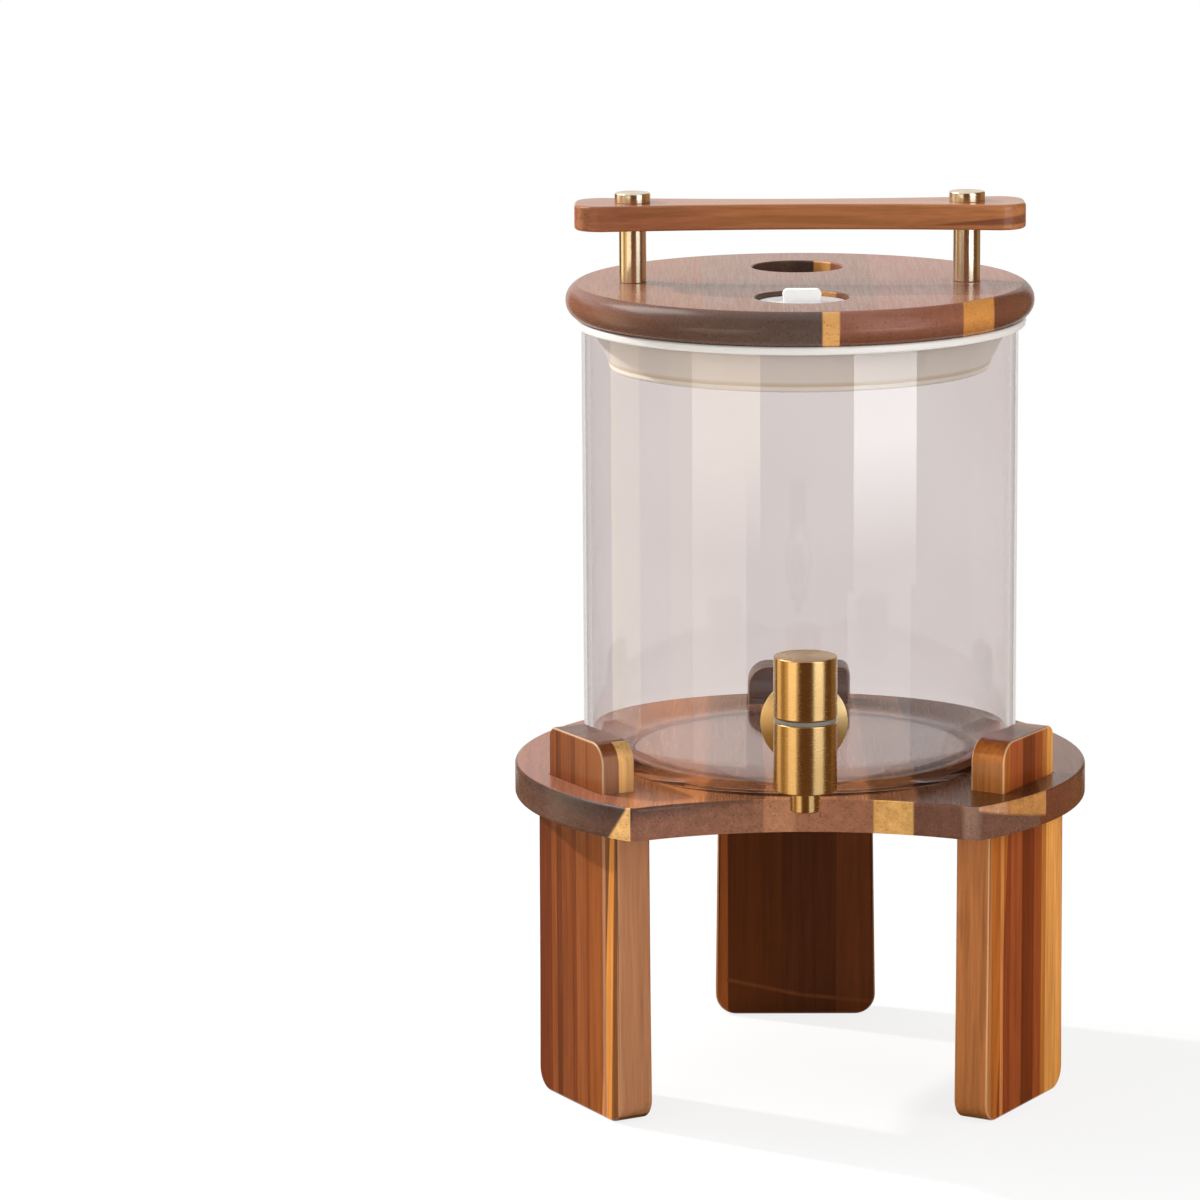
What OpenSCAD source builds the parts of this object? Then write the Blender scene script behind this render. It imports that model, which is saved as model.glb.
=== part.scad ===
// Glass drinks dispenser: a wooden stand on three plank legs, a glass jar with a
// quarter-turn brass tap, and a lift-off wooden lid with a bar handle.
// Millimetres, +Z up, front towards -Y. The origin is the middle of the
// dispenser's footprint, on the surface that it stands on.

/* [Jar] */
// Outside diameter of the glass
jar_d = 180; // [150:1:220]
// Height of the glass
jar_h = 184; // [140:1:260]
// Thickness of the glass wall
jar_wall = 3.5; // [3:0.1:6]
// Thickness of the glass bottom
jar_base = 5; // [4:0.5:10]
// Radius round the outside of the bottom
jar_heel = 15; // [8:0.5:20]
// Radius round the inside of the bottom
jar_cove = 11; // [5:0.5:16]
// Rounding on both edges of the rim
jar_rim = 1.2; // [0.5:0.1:1.4]

/* [Stand] */
// Clear height under the board
stand_h = 122; // [80:1:200]
// Thickness of the board
board_t = 14; // [10:0.5:24]
// Wood left on the board outside the legs
board_rim = 12.9; // [8:0.1:24]
// Width of the bite in the board's front edge, from corner to corner
bite_w = 138; // [110:1:150]
// How far the jar stands out over the middle of the bite
bite_overhang = 10.5; // [6:0.5:16]
// Rounding on the two corners of the bite
bite_corner = 6; // [2:0.5:6]
// Thickness of a leg
leg_t = 15; // [10:0.5:22]
// Width of a leg under the board
leg_top_w = 66.4; // [56:0.1:74]
// Width of a leg at the foot
leg_foot_w = 70.3; // [56:0.1:80]
// Rounding on the foot's two corners
leg_foot_round = 9; // [4:0.5:14]
// Width of the tenon that passes up through the board
stub_w = 45.5; // [30:0.5:50]
// How much of that width lies in front of the leg's centre line
stub_front = 21.25; // [14:0.25:26]
// How far the tenon stands above the board
stub_rise = 20.4; // [12:0.1:32]
// Rounding on the tenon's front top corner
stub_round = 9; // [4:0.5:12]
// Rounding on the tenon's rear top corner
stub_back_round = 4.5; // [2:0.5:12]
// Room between the glass and the legs' inner faces
jar_leg_gap = 1.1; // [0.6:0.1:3]
// Room round a tenon in its mortise
tenon_gap = 0.1; // [0.05:0.05:0.5]

/* [Tap outside] */
// Distance from the glass to the tap's upright axis
tap_standoff = 26; // [24:0.5:36]
// Diameter of the barrel and the knob
tap_d = 25.4; // [24:0.1:32]
// Height of the shank above the underside of the glass
shank_h = 34.6; // [32:0.1:60]
// Barrel below the shank's axis
barrel_below = 22.4; // [20:0.1:30]
// Barrel above the shank's axis
barrel_above = 5.5; // [5.5:0.1:10]
// Thickness of the grey ring under the knob
glide_t = 1.8; // [1.2:0.1:3]
// How far the grey ring lies in from the barrel's side
glide_inset = 0.3; // [0.1:0.1:0.8]
// Height of the knob
knob_h = 24.5; // [22:0.5:40]
// Bevel on the ends of the barrel and the knob
tap_bevel = 0.6; // [0.3:0.1:1]
// Diameter of the nozzle
nozzle_d = 12; // [10.5:0.1:14]
// Length of the nozzle below the barrel
nozzle_len = 8.6; // [6:0.1:14]
// Diameter of the passage through the nozzle
outlet_d = 8; // [6:0.1:8.4]
// Diameter of the round plate against the glass
escutcheon_d = 35; // [31:0.5:46]
// Thickness of that plate
escutcheon_t = 3.2; // [2:0.1:5]
// Bevel on that plate's front edge
escutcheon_bevel = 1.2; // [0.4:0.1:1.6]

/* [Tap inside] */
// Diameter of the threaded shank through the glass
shank_d = 12; // [10:0.5:14]
// Diameter of the neck between the barrel and the plate
neck_d = 10; // [8:0.5:10.5]
// Diameter of the collar that presses on the plate
collar_d = 16; // [15:0.5:20]
// Thickness of the collar
collar_t = 3; // [2:0.5:4]
// Diameter of the passage through the shank
inlet_d = 6; // [4:0.5:7]
// Room round the shank in the glass
glass_hole_gap = 0.3; // [0.2:0.1:1]
// Thickness of the silicone washers where they are thinnest
washer_t = 1.6; // [1:0.1:3]
// Diameter of the outer washer
outer_washer_d = 30; // [24:0.5:34]
// Diameter of the inner washer
inner_washer_d = 26; // [23:0.5:32]
// Width of the shank nut across its flats
nut_af = 19; // [17:0.5:22]
// Thickness of the shank nut
nut_t = 6; // [4:0.5:10]
// Shank left beyond the nut
shank_tail = 2; // [1:0.5:6]
// Wall of the hollow knob
knob_wall = 1.8; // [1.4:0.1:2.2]
// Room between the knob and the bonnet nut inside it
knob_room = 0.5; // [0.3:0.1:1]
// Wall of the bonnet nut
bonnet_wall = 1.7; // [1.2:0.1:2.2]
// Depth of the bonnet nut's skirt
bonnet_skirt = 5; // [3:0.5:5.5]
// Thickness of the bonnet nut's top
bonnet_top = 2.6; // [1.8:0.1:4]
// Height of the threaded spigot above the barrel
spigot_h = 8; // [7.8:0.1:12]
// Wall of that spigot
spigot_wall = 1.6; // [1.2:0.1:2.2]
// Width of the core's shoulder under the bonnet nut
core_shoulder = 2; // [1.5:0.1:2.5]
// Running room round the core
core_gap = 0.05; // [0.02:0.01:0.1]
// Thickness of the O-rings
oring_t = 1.8; // [1.2:0.1:2.2]
// Room round an O-ring in its groove
oring_gap = 0.1; // [0.05:0.05:0.2]
// Floor of the barrel between the core and the nozzle's thread
seat_t = 2.8; // [1.5:0.1:4]
// Length of the nozzle's thread inside the barrel
nozzle_thread_h = 6; // [4:0.5:7]
// Step from the nozzle's side to its thread
nozzle_step = 1; // [0.6:0.1:1.2]
// Length of the stem gripped by the knob
stem_grip = 10; // [8:0.5:11]
// Depth of the flat on the stem that the set screw meets
stem_flat = 0.8; // [0.4:0.1:1.2]
// Diameter of the set screw
set_screw_d = 4; // [3:0.5:5]
// How far the set screw lies below the knob's side
set_screw_inset = 0.6; // [0.3:0.1:1.5]
// Width across the flats of the set screw's socket
set_screw_key = 2; // [1.5:0.1:2.5]
// How far the knob turns, in degrees
quarter_turn = 90; // [60:5:120]
// Angle taken up by the stop lug, in degrees
lug_angle = 28; // [16:2:40]
// Play of that lug at each end of its slot, in degrees
lug_play = 1; // [0.5:0.5:4]

/* [Lid] */
// How far the lid stands out past the glass
lid_overhang = 6.5; // [3:0.5:14]
// Thickness of the lid, whose edge is a full half round
lid_t = 14; // [10:0.5:22]
// Diameter of the two holes in the lid
hole_d = 38; // [24:0.5:42]
// Wood left on the boss outside each hole
hole_margin = 9.5; // [5:0.5:14]
// Thickness of the boss under the lid
boss_t = 16; // [12:0.5:17]
// How far the seal's flange stands out past the glass
flange_overhang = 3; // [1:0.5:5]
// Thickness of the seal's flange
flange_t = 2.2; // [1.5:0.1:4]
// Depth of the seal's skirt below the rim of the glass
seal_depth = 18; // [15:0.5:30]
// How much narrower the skirt is at its lower end
seal_taper = 7.4; // [3:0.1:12]
// Thickness of the seal's lower lip
lip_t = 2.6; // [2:0.1:4]
// Room between the seal and the inside of the glass
seal_gap = 0.4; // [0.3:0.05:1]
// Room round the plug
plug_gap = 0.3; // [0.2:0.05:0.6]
// How far the plug's top lies below the lid's top
plug_recess = 2; // [1:0.5:4]
// Width of the ledge in the hole that the plug rests on
plug_ledge = 2; // [1:0.5:4]
// Length of the plug below that ledge
plug_spigot = 8; // [4:0.5:12]
// Width of the pull tab at its top
tab_w = 16.2; // [10:0.1:22]
// Width of the pull tab at its root
tab_root_w = 14.8; // [10:0.1:22]
// Height of the pull tab
tab_h = 5.4; // [4:0.1:12]
// Thickness of the pull tab
tab_t = 3.6; // [2:0.1:6]
// Rounding on the pull tab's top corners
tab_round = 2.2; // [1:0.1:3]
// Distance of the boss screws from the lid's centre
boss_screw_out = 30; // [24:0.5:34]

/* [Handle] */
// How far the handle's ends lie in from the lid's edge
handle_inset = 4; // [0:0.5:20]
// Width of the handle near its ends
handle_end_w = 33; // [28:0.5:44]
// Width of the handle in its middle
handle_waist_w = 21; // [16:0.5:26]
// Thickness of the handle
handle_t = 10.5; // [7:0.5:16]
// Rounding on the handle's corners
handle_round = 11; // [7:0.5:13]
// Distance of the posts from the handle's ends
post_inset = 23.9; // [16:0.1:40]
// Diameter of the posts
post_d = 11.2; // [9:0.1:16]
// Height of the posts
post_h = 22.5; // [18:0.1:50]
// Diameter of the cap screws' heads
cap_d = 14.8; // [10:0.1:20]
// Height of the cap screws' heads
cap_h = 4; // [2.5:0.1:6]
// Bevel on the cap screws' heads
cap_bevel = 0.6; // [0.2:0.1:1]

/* [Screws] */
// Diameter of the screws in the lid and the handle
screw_d = 5; // [4:0.5:6]
// Diameter of their heads
screw_head_d = 9; // [8:0.5:11]
// Thickness of their heads
screw_head_t = 3; // [2:0.5:4]
// Depth that each screw is driven into a post or the lid
screw_grip = 8; // [5:0.5:8.5]
// Room round fixed pieces that fit into one another
fit_gap = 0.1; // [0.05:0.05:0.2]

/* [Hidden] */
$fn = 96;
// Sides of the few wide rounds that a thin or shallow shape is cut by
wide_fn = 720;
// How far a cutter reaches past the face that it opens
past = 1;

acacia = [0.50, 0.27, 0.15];
brass = [0.78, 0.60, 0.30];
glass = [0.85, 0.92, 0.92, 0.35];
silicone = [0.95, 0.94, 0.90];
grey_plastic = [0.55, 0.56, 0.57];
black_rubber = [0.12, 0.12, 0.12];
steel = [0.70, 0.70, 0.72];

// Glass
jar_r = jar_d / 2;
jar_in_r = jar_r - jar_wall;
jar_z = stand_h + board_t;
jar_top = jar_z + jar_h;

// Stand
leg_in = jar_r + jar_leg_gap;
leg_out = leg_in + leg_t;
board_r = leg_out + board_rim;
bite_half = bite_w / 2;
bite_mid = jar_r - bite_overhang;
bite_sag = sqrt(pow(board_r, 2) - pow(bite_half, 2)) - bite_mid;
bite_r = (pow(bite_half, 2) + pow(bite_sag, 2)) / (2 * bite_sag);
bite_out = bite_mid + bite_r;
stub_top = jar_z + stub_rise;
stub_back = stub_w - stub_front;
leg_lean = (leg_foot_w - leg_top_w) / 2;
leg_side = norm([leg_lean, stand_h]);

// Tap, by its height above the table and its distance out from the jar's axis
tap_r = tap_d / 2;
tap_out = jar_r + tap_standoff;
shank_z = jar_z + shank_h;
barrel_z = shank_z - barrel_below;
barrel_top = shank_z + barrel_above;
spigot_top = barrel_top + spigot_h;
knob_z = barrel_top + glide_t + fit_gap;
knob_top = knob_z + knob_h;
cavity_r = tap_r - knob_wall;
bonnet_r = cavity_r - knob_room;
spigot_r = bonnet_r - bonnet_wall - fit_gap;
bore_r = spigot_r - spigot_wall;
core_r = bore_r - core_gap;
stem_r = core_r - core_shoulder;
seat_z = barrel_z + nozzle_thread_h + seat_t;
core_z = seat_z + fit_gap;
core_top = spigot_top - fit_gap;
cavity_top = spigot_top + bonnet_top + knob_room;
stem_top = cavity_top + stem_grip;
nozzle_r = nozzle_d / 2;
outlet_r = outlet_d / 2;
inlet_r = inlet_d / 2;
shank_r = shank_d / 2;
neck_r = neck_d / 2;
plate_back = jar_r + washer_t;
plate_front = plate_back + escutcheon_t;
collar_front = plate_front + collar_t;
inner_washer_r = inner_washer_d / 2;
washer_back = sqrt(pow(jar_in_r, 2) - pow(inner_washer_r, 2)) - washer_t;
nut_back = washer_back - nut_t;
shank_end = nut_back - shank_tail;
oring_r = oring_t / 2;
oring_mid_r = bore_r - core_gap - oring_r;
oring_zs = [(core_z + shank_z - inlet_r) / 2, (shank_z + inlet_r + core_top) / 2];
set_screw_z = cavity_top + stem_grip / 2;

// The jar's axis lies behind the origin, so that the origin is the middle of the footprint
jar_y = (tap_out + tap_r - board_r) / 2;

// Lid
lid_r = jar_r + lid_overhang;
lid_z = jar_top + flange_t;
lid_top = lid_z + lid_t;
flange_r = jar_r + flange_overhang;
skirt_r = jar_in_r - seal_gap;
lip_r = skirt_r - seal_taper;
boss_r = lip_r - lip_t - fit_gap;
boss_z = lid_z - boss_t;
hole_r = hole_d / 2;
hole_y = boss_r - hole_margin - hole_r;
ledge_r = hole_r - plug_ledge;
plug_top = lid_top - plug_recess;

// Handle
handle_half = lid_r - handle_inset;
post_x = handle_half - post_inset;
handle_z = lid_top + post_h;
handle_top = handle_z + handle_t;
screw_r = screw_d / 2;
screw_hole_r = screw_r + fit_gap;
screw_head_r = screw_head_d / 2;
corner_x = handle_half - handle_round;
corner_y = handle_end_w / 2 - handle_round;
waist_step = handle_waist_w / 2 - corner_y;
waist_r = (pow(corner_x, 2) + pow(waist_step, 2) - pow(handle_round, 2))
    / (2 * (handle_round - waist_step));
waist_y = handle_waist_w / 2 + waist_r;

// Shared shapes and places

module on_axis() {
    translate([0, jar_y, 0]) children();
}

module on_tap(z) {
    translate([0, jar_y - tap_out, z]) children();
}

// A round bar on the shank's axis, between two distances out from the jar's axis
module along_shank(r, from, to, sides = $fn) {
    translate([0, jar_y - to, shank_z])
        rotate([-90, 0, 0])
            cylinder(r = r, h = to - from, $fn = sides);
}

// A turned bar with a bevel on both ends
module turned(r, h, bevel) {
    rotate_extrude()
        polygon([[0, 0], [r - bevel, 0], [r, bevel], [r, h - bevel], [r - bevel, h], [0, h]]);
}

// A slice of a ring between two angles
module ring_slice(r_in, r_out, from, to, h) {
    far = 2 * r_out;
    linear_extrude(h)
        intersection() {
            difference() {
                circle(r_out);
                circle(r_in);
            }
            polygon([[0, 0], for (a = [from, (from + to) / 2, to]) far * [cos(a), sin(a)]]);
        }
}

// Half the section of a cup-shaped volume whose lower edge is rounded
module cup_half(r, h, edge) {
    square([r - edge, h]);
    translate([0, edge]) square([r, h - edge]);
    translate([r - edge, edge]) circle(edge);
}

// A screw that points up, with its head's underside at z = 0
module screw_up(grip) {
    translate([0, 0, -screw_head_t]) cylinder(r = screw_head_r, h = screw_head_t);
    translate([0, 0, -screw_head_t / 2]) cylinder(r = screw_r, h = grip + screw_head_t / 2);
}

// The room that such a screw needs, opened past its head
module screw_room(grip) {
    translate([0, 0, -screw_head_t - past])
        cylinder(r = screw_head_r + fit_gap, h = screw_head_t + past);
    cylinder(r = screw_hole_r, h = grip + fit_gap);
}

// Stand

// One rounded corner of the bite, which touches the board's edge and the bite's edge
function bite_round_pos(side) =
    let (a = board_r - bite_corner,
         b = bite_r + bite_corner,
         turn = acos((pow(bite_out, 2) + pow(a, 2) - pow(b, 2)) / (2 * bite_out * a)))
    a * [side * sin(turn), -cos(turn)];

module bite_tip(side) {
    reach = 3 * bite_corner;
    mid = bite_round_pos(side);
    to_edge = mid / norm(mid);
    to_bite = ([0, -bite_out] - mid) / norm([0, -bite_out] - mid);
    polygon([mid, mid + reach * to_edge, mid + reach * (to_edge + to_bite), mid + reach * to_bite]);
}

module board_outline() {
    difference() {
        circle(board_r);
        translate([0, -bite_out]) circle(bite_r);
        for (side = [-1, 1]) bite_tip(side);
    }
    for (side = [-1, 1]) translate(bite_round_pos(side)) circle(bite_corner);
}

module at_leg(angle) {
    on_axis() rotate([0, 0, angle]) translate([leg_in, 0, 0]) children();
}

// Each leg is [its angle, the side of its centre line that faces the front]
left_leg = [210, 1];
right_leg = [330, -1];
rear_leg = [90, 1];

module stand_board() {
    color(acacia) difference() {
        on_axis() translate([0, 0, stand_h]) linear_extrude(board_t) board_outline();
        for (spot = [left_leg, right_leg, rear_leg])
            at_leg(spot[0])
                translate([
                    -tenon_gap, -(spot[1] > 0 ? stub_back : stub_front) - tenon_gap, stand_h - past,
                ])
                    cube([leg_t + 2 * tenon_gap, stub_w + 2 * tenon_gap, board_t + 2 * past]);
    }
}

// The face of a leg: a tapered plank with shoulders and a narrower tenon, with its front on one side
module leg_outline(front) {
    lean = leg_lean / leg_side;
    foot_x = leg_foot_w / 2 - leg_lean * leg_foot_round / stand_h - leg_foot_round * leg_side / stand_h;
    side_x = foot_x + leg_foot_round * stand_h / leg_side;
    side_z = leg_foot_round + leg_foot_round * lean;
    right_x = front > 0 ? stub_front : stub_back;
    left_x = stub_w - right_x;
    right_round = front > 0 ? stub_round : stub_back_round;
    left_round = front > 0 ? stub_back_round : stub_round;
    polygon([
        [foot_x, 0], [side_x, side_z], [leg_top_w / 2, stand_h], [right_x, stand_h],
        [right_x, stub_top - right_round], [right_x - right_round, stub_top],
        [left_round - left_x, stub_top], [-left_x, stub_top - left_round],
        [-left_x, stand_h], [-leg_top_w / 2, stand_h], [-side_x, side_z], [-foot_x, 0],
    ]);
    for (side = [-1, 1]) translate([side * foot_x, leg_foot_round]) circle(leg_foot_round);
    translate([right_x - right_round, stub_top - right_round]) circle(right_round);
    translate([left_round - left_x, stub_top - left_round]) circle(left_round);
}

module leg(spot) {
    color(acacia)
        at_leg(spot[0]) rotate([90, 0, 90]) linear_extrude(leg_t) leg_outline(spot[1]);
}

module leg_front_left() {
    leg(left_leg);
}

module leg_front_right() {
    leg(right_leg);
}

module leg_rear() {
    leg(rear_leg);
}

// Glass

module jar_half() {
    rim_z = jar_h - jar_rim;
    difference() {
        cup_half(jar_r, rim_z, jar_heel);
        translate([0, jar_base]) cup_half(jar_in_r, jar_h, jar_cove);
    }
    translate([jar_in_r + jar_rim, rim_z]) circle(jar_rim);
    translate([jar_r - jar_rim, rim_z]) circle(jar_rim);
    translate([jar_in_r + jar_rim, rim_z - jar_rim])
        square([jar_wall - 2 * jar_rim, 2 * jar_rim]);
}

module glass_jar() {
    color(glass) difference() {
        on_axis() translate([0, 0, jar_z]) rotate_extrude() jar_half();
        along_shank(shank_r + glass_hole_gap, jar_in_r / 2, jar_r + past);
    }
}

// Tap

module tap_body() {
    color(brass) difference() {
        union() {
            on_tap(barrel_z) turned(tap_r, barrel_top - barrel_z, tap_bevel);
            on_tap(barrel_top - past) cylinder(r = spigot_r, h = spigot_h + past);
            along_shank(neck_r, plate_front, tap_out);
            along_shank(collar_d / 2, plate_front, collar_front);
            along_shank(shank_r, shank_end, plate_front);
        }
        on_tap(seat_z) cylinder(r = bore_r, h = spigot_top - seat_z + past);
        on_tap(barrel_z) cylinder(r = outlet_r, h = seat_z - barrel_z + past);
        on_tap(barrel_z - past)
            cylinder(r = nozzle_r - nozzle_step + fit_gap, h = nozzle_thread_h + past);
        along_shank(inlet_r, shank_end - past, tap_out);
    }
}

module tap_nozzle() {
    color(brass) on_tap(barrel_z) difference() {
        union() {
            translate([0, 0, -nozzle_len]) cylinder(r = nozzle_r, h = nozzle_len);
            translate([0, 0, -nozzle_len / 2])
                cylinder(r = nozzle_r - nozzle_step, h = nozzle_len / 2 + nozzle_thread_h - fit_gap);
        }
        translate([0, 0, -nozzle_len - past])
            cylinder(r = outlet_r, h = nozzle_len + nozzle_thread_h + 2 * past);
    }
}

module bonnet_nut() {
    stop_room = lug_angle / 2 + lug_play;
    color(brass) on_tap(spigot_top) difference() {
        translate([0, 0, -bonnet_skirt]) cylinder(r = bonnet_r, h = bonnet_skirt + bonnet_top);
        translate([0, 0, -bonnet_skirt - past])
            cylinder(r = spigot_r + fit_gap, h = bonnet_skirt + past);
        translate([0, 0, -past]) cylinder(r = stem_r + core_gap, h = bonnet_top + 2 * past);
        translate([0, 0, -past])
            ring_slice(stem_r / 2, core_r + fit_gap, -stop_room, quarter_turn + stop_room,
                bonnet_top + 2 * past);
    }
}

module glide_ring() {
    color(grey_plastic) on_tap(barrel_top) difference() {
        cylinder(r = tap_r - glide_inset, h = glide_t);
        translate([0, 0, -past]) cylinder(r = spigot_r + fit_gap, h = glide_t + 2 * past);
    }
}

module escutcheon() {
    rim_r = escutcheon_d / 2;
    color(brass) translate([0, jar_y - plate_back, shank_z]) rotate([90, 0, 0])
        rotate_extrude()
            polygon([
                [shank_r + fit_gap, 0], [rim_r, 0], [rim_r, escutcheon_t - escutcheon_bevel],
                [rim_r - escutcheon_bevel, escutcheon_t], [shank_r + fit_gap, escutcheon_t],
            ]);
}

module outer_washer() {
    color(silicone) difference() {
        along_shank(outer_washer_d / 2, jar_in_r, plate_back);
        along_shank(shank_r + fit_gap, jar_in_r - past, plate_back + past);
        on_axis() cylinder(r = jar_r, h = jar_top, $fn = wide_fn);
    }
}

module inner_washer() {
    color(silicone) intersection() {
        difference() {
            along_shank(inner_washer_r, washer_back, jar_r);
            along_shank(shank_r + fit_gap, washer_back - past, jar_r + past);
        }
        on_axis() cylinder(r = jar_in_r, h = jar_top, $fn = wide_fn);
    }
}

module shank_nut() {
    color(brass) difference() {
        along_shank(nut_af / 2 / cos(30), nut_back, washer_back, 6);
        along_shank(shank_r + fit_gap, nut_back - past, washer_back + past);
    }
}

module tap_knob() {
    color(brass) difference() {
        on_tap(knob_z) turned(tap_r, knob_h, tap_bevel);
        on_tap(knob_z - past) cylinder(r = cavity_r, h = cavity_top - knob_z + past);
        on_tap(knob_z) cylinder(r = stem_r + fit_gap, h = stem_top + fit_gap - knob_z);
        on_tap(set_screw_z) rotate([-90, 0, 0])
            cylinder(r = set_screw_d / 2 + fit_gap, h = tap_r + past);
    }
}

module valve_core() {
    color(brass) on_tap(0) difference() {
        union() {
            translate([0, 0, core_z]) cylinder(r = core_r, h = core_top - core_z);
            translate([0, 0, core_top - past]) cylinder(r = stem_r, h = stem_top - core_top + past);
            translate([0, 0, core_top - past])
                ring_slice(stem_r / 2, core_r - fit_gap, -lug_angle / 2, lug_angle / 2,
                    bonnet_top + past);
        }
        translate([0, 0, core_z - past])
            cylinder(r = inlet_r, h = shank_z + past - core_z);
        translate([0, 0, shank_z]) rotate([0, 90, 0]) cylinder(r = inlet_r, h = core_r + past);
        for (z = oring_zs) translate([0, 0, z]) oring_groove();
        translate([-stem_r, stem_r - stem_flat, cavity_top])
            cube([2 * stem_r, stem_r, stem_grip + past]);
    }
}

module oring_groove() {
    groove_h = oring_t + 2 * oring_gap;
    translate([0, 0, -groove_h / 2]) difference() {
        cylinder(r = bore_r, h = groove_h);
        translate([0, 0, -past])
            cylinder(r = oring_mid_r - oring_r - oring_gap, h = groove_h + 2 * past);
    }
}

module core_orings() {
    color(black_rubber)
        for (z = oring_zs)
            on_tap(z) rotate_extrude() translate([oring_mid_r, 0]) circle(oring_r);
}

module knob_set_screw() {
    from = stem_r - stem_flat;
    long = tap_r - set_screw_inset - from;
    color(steel) on_tap(set_screw_z) rotate([-90, 0, 0]) translate([0, 0, from]) difference() {
        cylinder(r = set_screw_d / 2, h = long);
        translate([0, 0, long / 2])
            cylinder(r = set_screw_key / 2 / cos(30), h = long, $fn = 6);
    }
}

// Lid

module at_holes() {
    on_axis() for (side = [-1, 1]) translate([0, side * hole_y, 0]) children();
}

module at_posts() {
    on_axis() for (side = [-1, 1]) translate([side * post_x, 0, 0]) children();
}

module at_boss_screws() {
    on_axis()
        for (angle = [45 : 90 : 315])
            rotate([0, 0, angle]) translate([boss_screw_out, 0, 0]) children();
}

module lid_board() {
    edge = lid_t / 2;
    color(acacia) difference() {
        on_axis() translate([0, 0, lid_z]) rotate_extrude() {
            square([lid_r - edge, lid_t]);
            translate([lid_r - edge, edge]) circle(edge);
        }
        at_holes() translate([0, 0, lid_z - past]) cylinder(r = hole_r, h = lid_t + 2 * past);
        at_posts() translate([0, 0, lid_z + screw_head_t]) screw_room(lid_t);
        at_boss_screws() translate([0, 0, lid_z - past])
            cylinder(r = screw_hole_r, h = screw_grip + fit_gap + past);
    }
}

module lid_boss() {
    color(acacia) difference() {
        on_axis() translate([0, 0, boss_z]) cylinder(r = boss_r, h = boss_t);
        at_holes() translate([0, 0, boss_z - past]) cylinder(r = ledge_r, h = boss_t + 2 * past);
        at_boss_screws() translate([0, 0, boss_z + screw_head_t]) screw_room(boss_t);
    }
}

module lid_seal() {
    edge = flange_t / 2;
    in_r = boss_r + fit_gap;
    lip_round = lip_t / 2;
    color(silicone) on_axis() translate([0, 0, jar_top]) rotate_extrude() {
        polygon([
            [in_r, lip_round - seal_depth], [lip_r, lip_round - seal_depth],
            [lip_r, lip_t - seal_depth], [skirt_r, 0],
            [flange_r - edge, 0], [flange_r - edge, flange_t], [in_r, flange_t],
        ]);
        translate([flange_r - edge, edge]) circle(edge);
        translate([lip_r - lip_round, lip_round - seal_depth]) circle(lip_round);
    }
}

module boss_screws() {
    color(steel) at_boss_screws()
        translate([0, 0, boss_z + screw_head_t])
            screw_up(boss_t - screw_head_t + screw_grip);
}

module post_screws() {
    color(steel) at_posts()
        translate([0, 0, lid_z + screw_head_t])
            screw_up(lid_t - screw_head_t + screw_grip);
}

// The plan of the handle: four round corners joined by two long hollow sides
module handle_outline() {
    reach = norm([corner_x, waist_y - corner_y]);
    side_x = corner_x - handle_round * corner_x / reach;
    side_y = corner_y + handle_round * (waist_y - corner_y) / reach;
    difference() {
        polygon([
            [handle_half, -corner_y], [handle_half, corner_y], [side_x, side_y], [-side_x, side_y],
            [-handle_half, corner_y], [-handle_half, -corner_y], [-side_x, -side_y], [side_x, -side_y],
        ]);
        for (side = [-1, 1]) translate([0, side * waist_y]) circle(waist_r, $fn = wide_fn);
    }
    for (x = [-corner_x, corner_x], y = [-corner_y, corner_y])
        translate([x, y]) circle(handle_round);
}

module lid_handle() {
    color(acacia) difference() {
        on_axis() translate([0, 0, handle_z]) linear_extrude(handle_t) handle_outline();
        at_posts() translate([0, 0, handle_z - past])
            cylinder(r = screw_hole_r, h = handle_t + 2 * past);
    }
}

module handle_post(side) {
    color(brass) on_axis() translate([side * post_x, 0, lid_top]) difference() {
        cylinder(r = post_d / 2, h = post_h);
        translate([0, 0, -past]) cylinder(r = screw_hole_r, h = post_h + 2 * past);
    }
}

module handle_post_left() {
    handle_post(-1);
}

module handle_post_right() {
    handle_post(1);
}

module handle_cap(side) {
    color(brass) on_axis() translate([side * post_x, 0, handle_top]) {
        turned(cap_d / 2, cap_h, cap_bevel);
        translate([0, 0, -handle_t - screw_grip])
            cylinder(r = screw_r, h = handle_t + screw_grip + cap_h / 2);
    }
}

module handle_cap_left() {
    handle_cap(-1);
}

module handle_cap_right() {
    handle_cap(1);
}

module tab_outline() {
    top_x = tab_w / 2 - tab_round;
    top_z = tab_h - tab_round;
    polygon([
        [-tab_root_w / 2, -past], [tab_root_w / 2, -past], [tab_w / 2, top_z],
        [top_x, tab_h], [-top_x, tab_h], [-tab_w / 2, top_z],
    ]);
    for (side = [-1, 1]) translate([side * top_x, top_z]) circle(tab_round);
}

module hole_plug() {
    color(silicone) on_axis() translate([0, -hole_y, 0]) {
        translate([0, 0, lid_z]) cylinder(r = hole_r - plug_gap, h = plug_top - lid_z);
        translate([0, 0, lid_z - plug_spigot])
            cylinder(r = ledge_r - plug_gap, h = plug_spigot + past);
        translate([0, tab_t / 2, plug_top])
            rotate([90, 0, 0]) linear_extrude(tab_t) tab_outline();
    }
}

stand_board();
leg_front_left();
leg_front_right();
leg_rear();
glass_jar();
tap_body();
tap_nozzle();
bonnet_nut();
glide_ring();
escutcheon();
outer_washer();
inner_washer();
shank_nut();
tap_knob();
valve_core();
core_orings();
knob_set_screw();
lid_board();
lid_boss();
lid_seal();
boss_screws();
lid_handle();
handle_post_left();
handle_post_right();
handle_cap_left();
handle_cap_right();
post_screws();
hole_plug();
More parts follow.
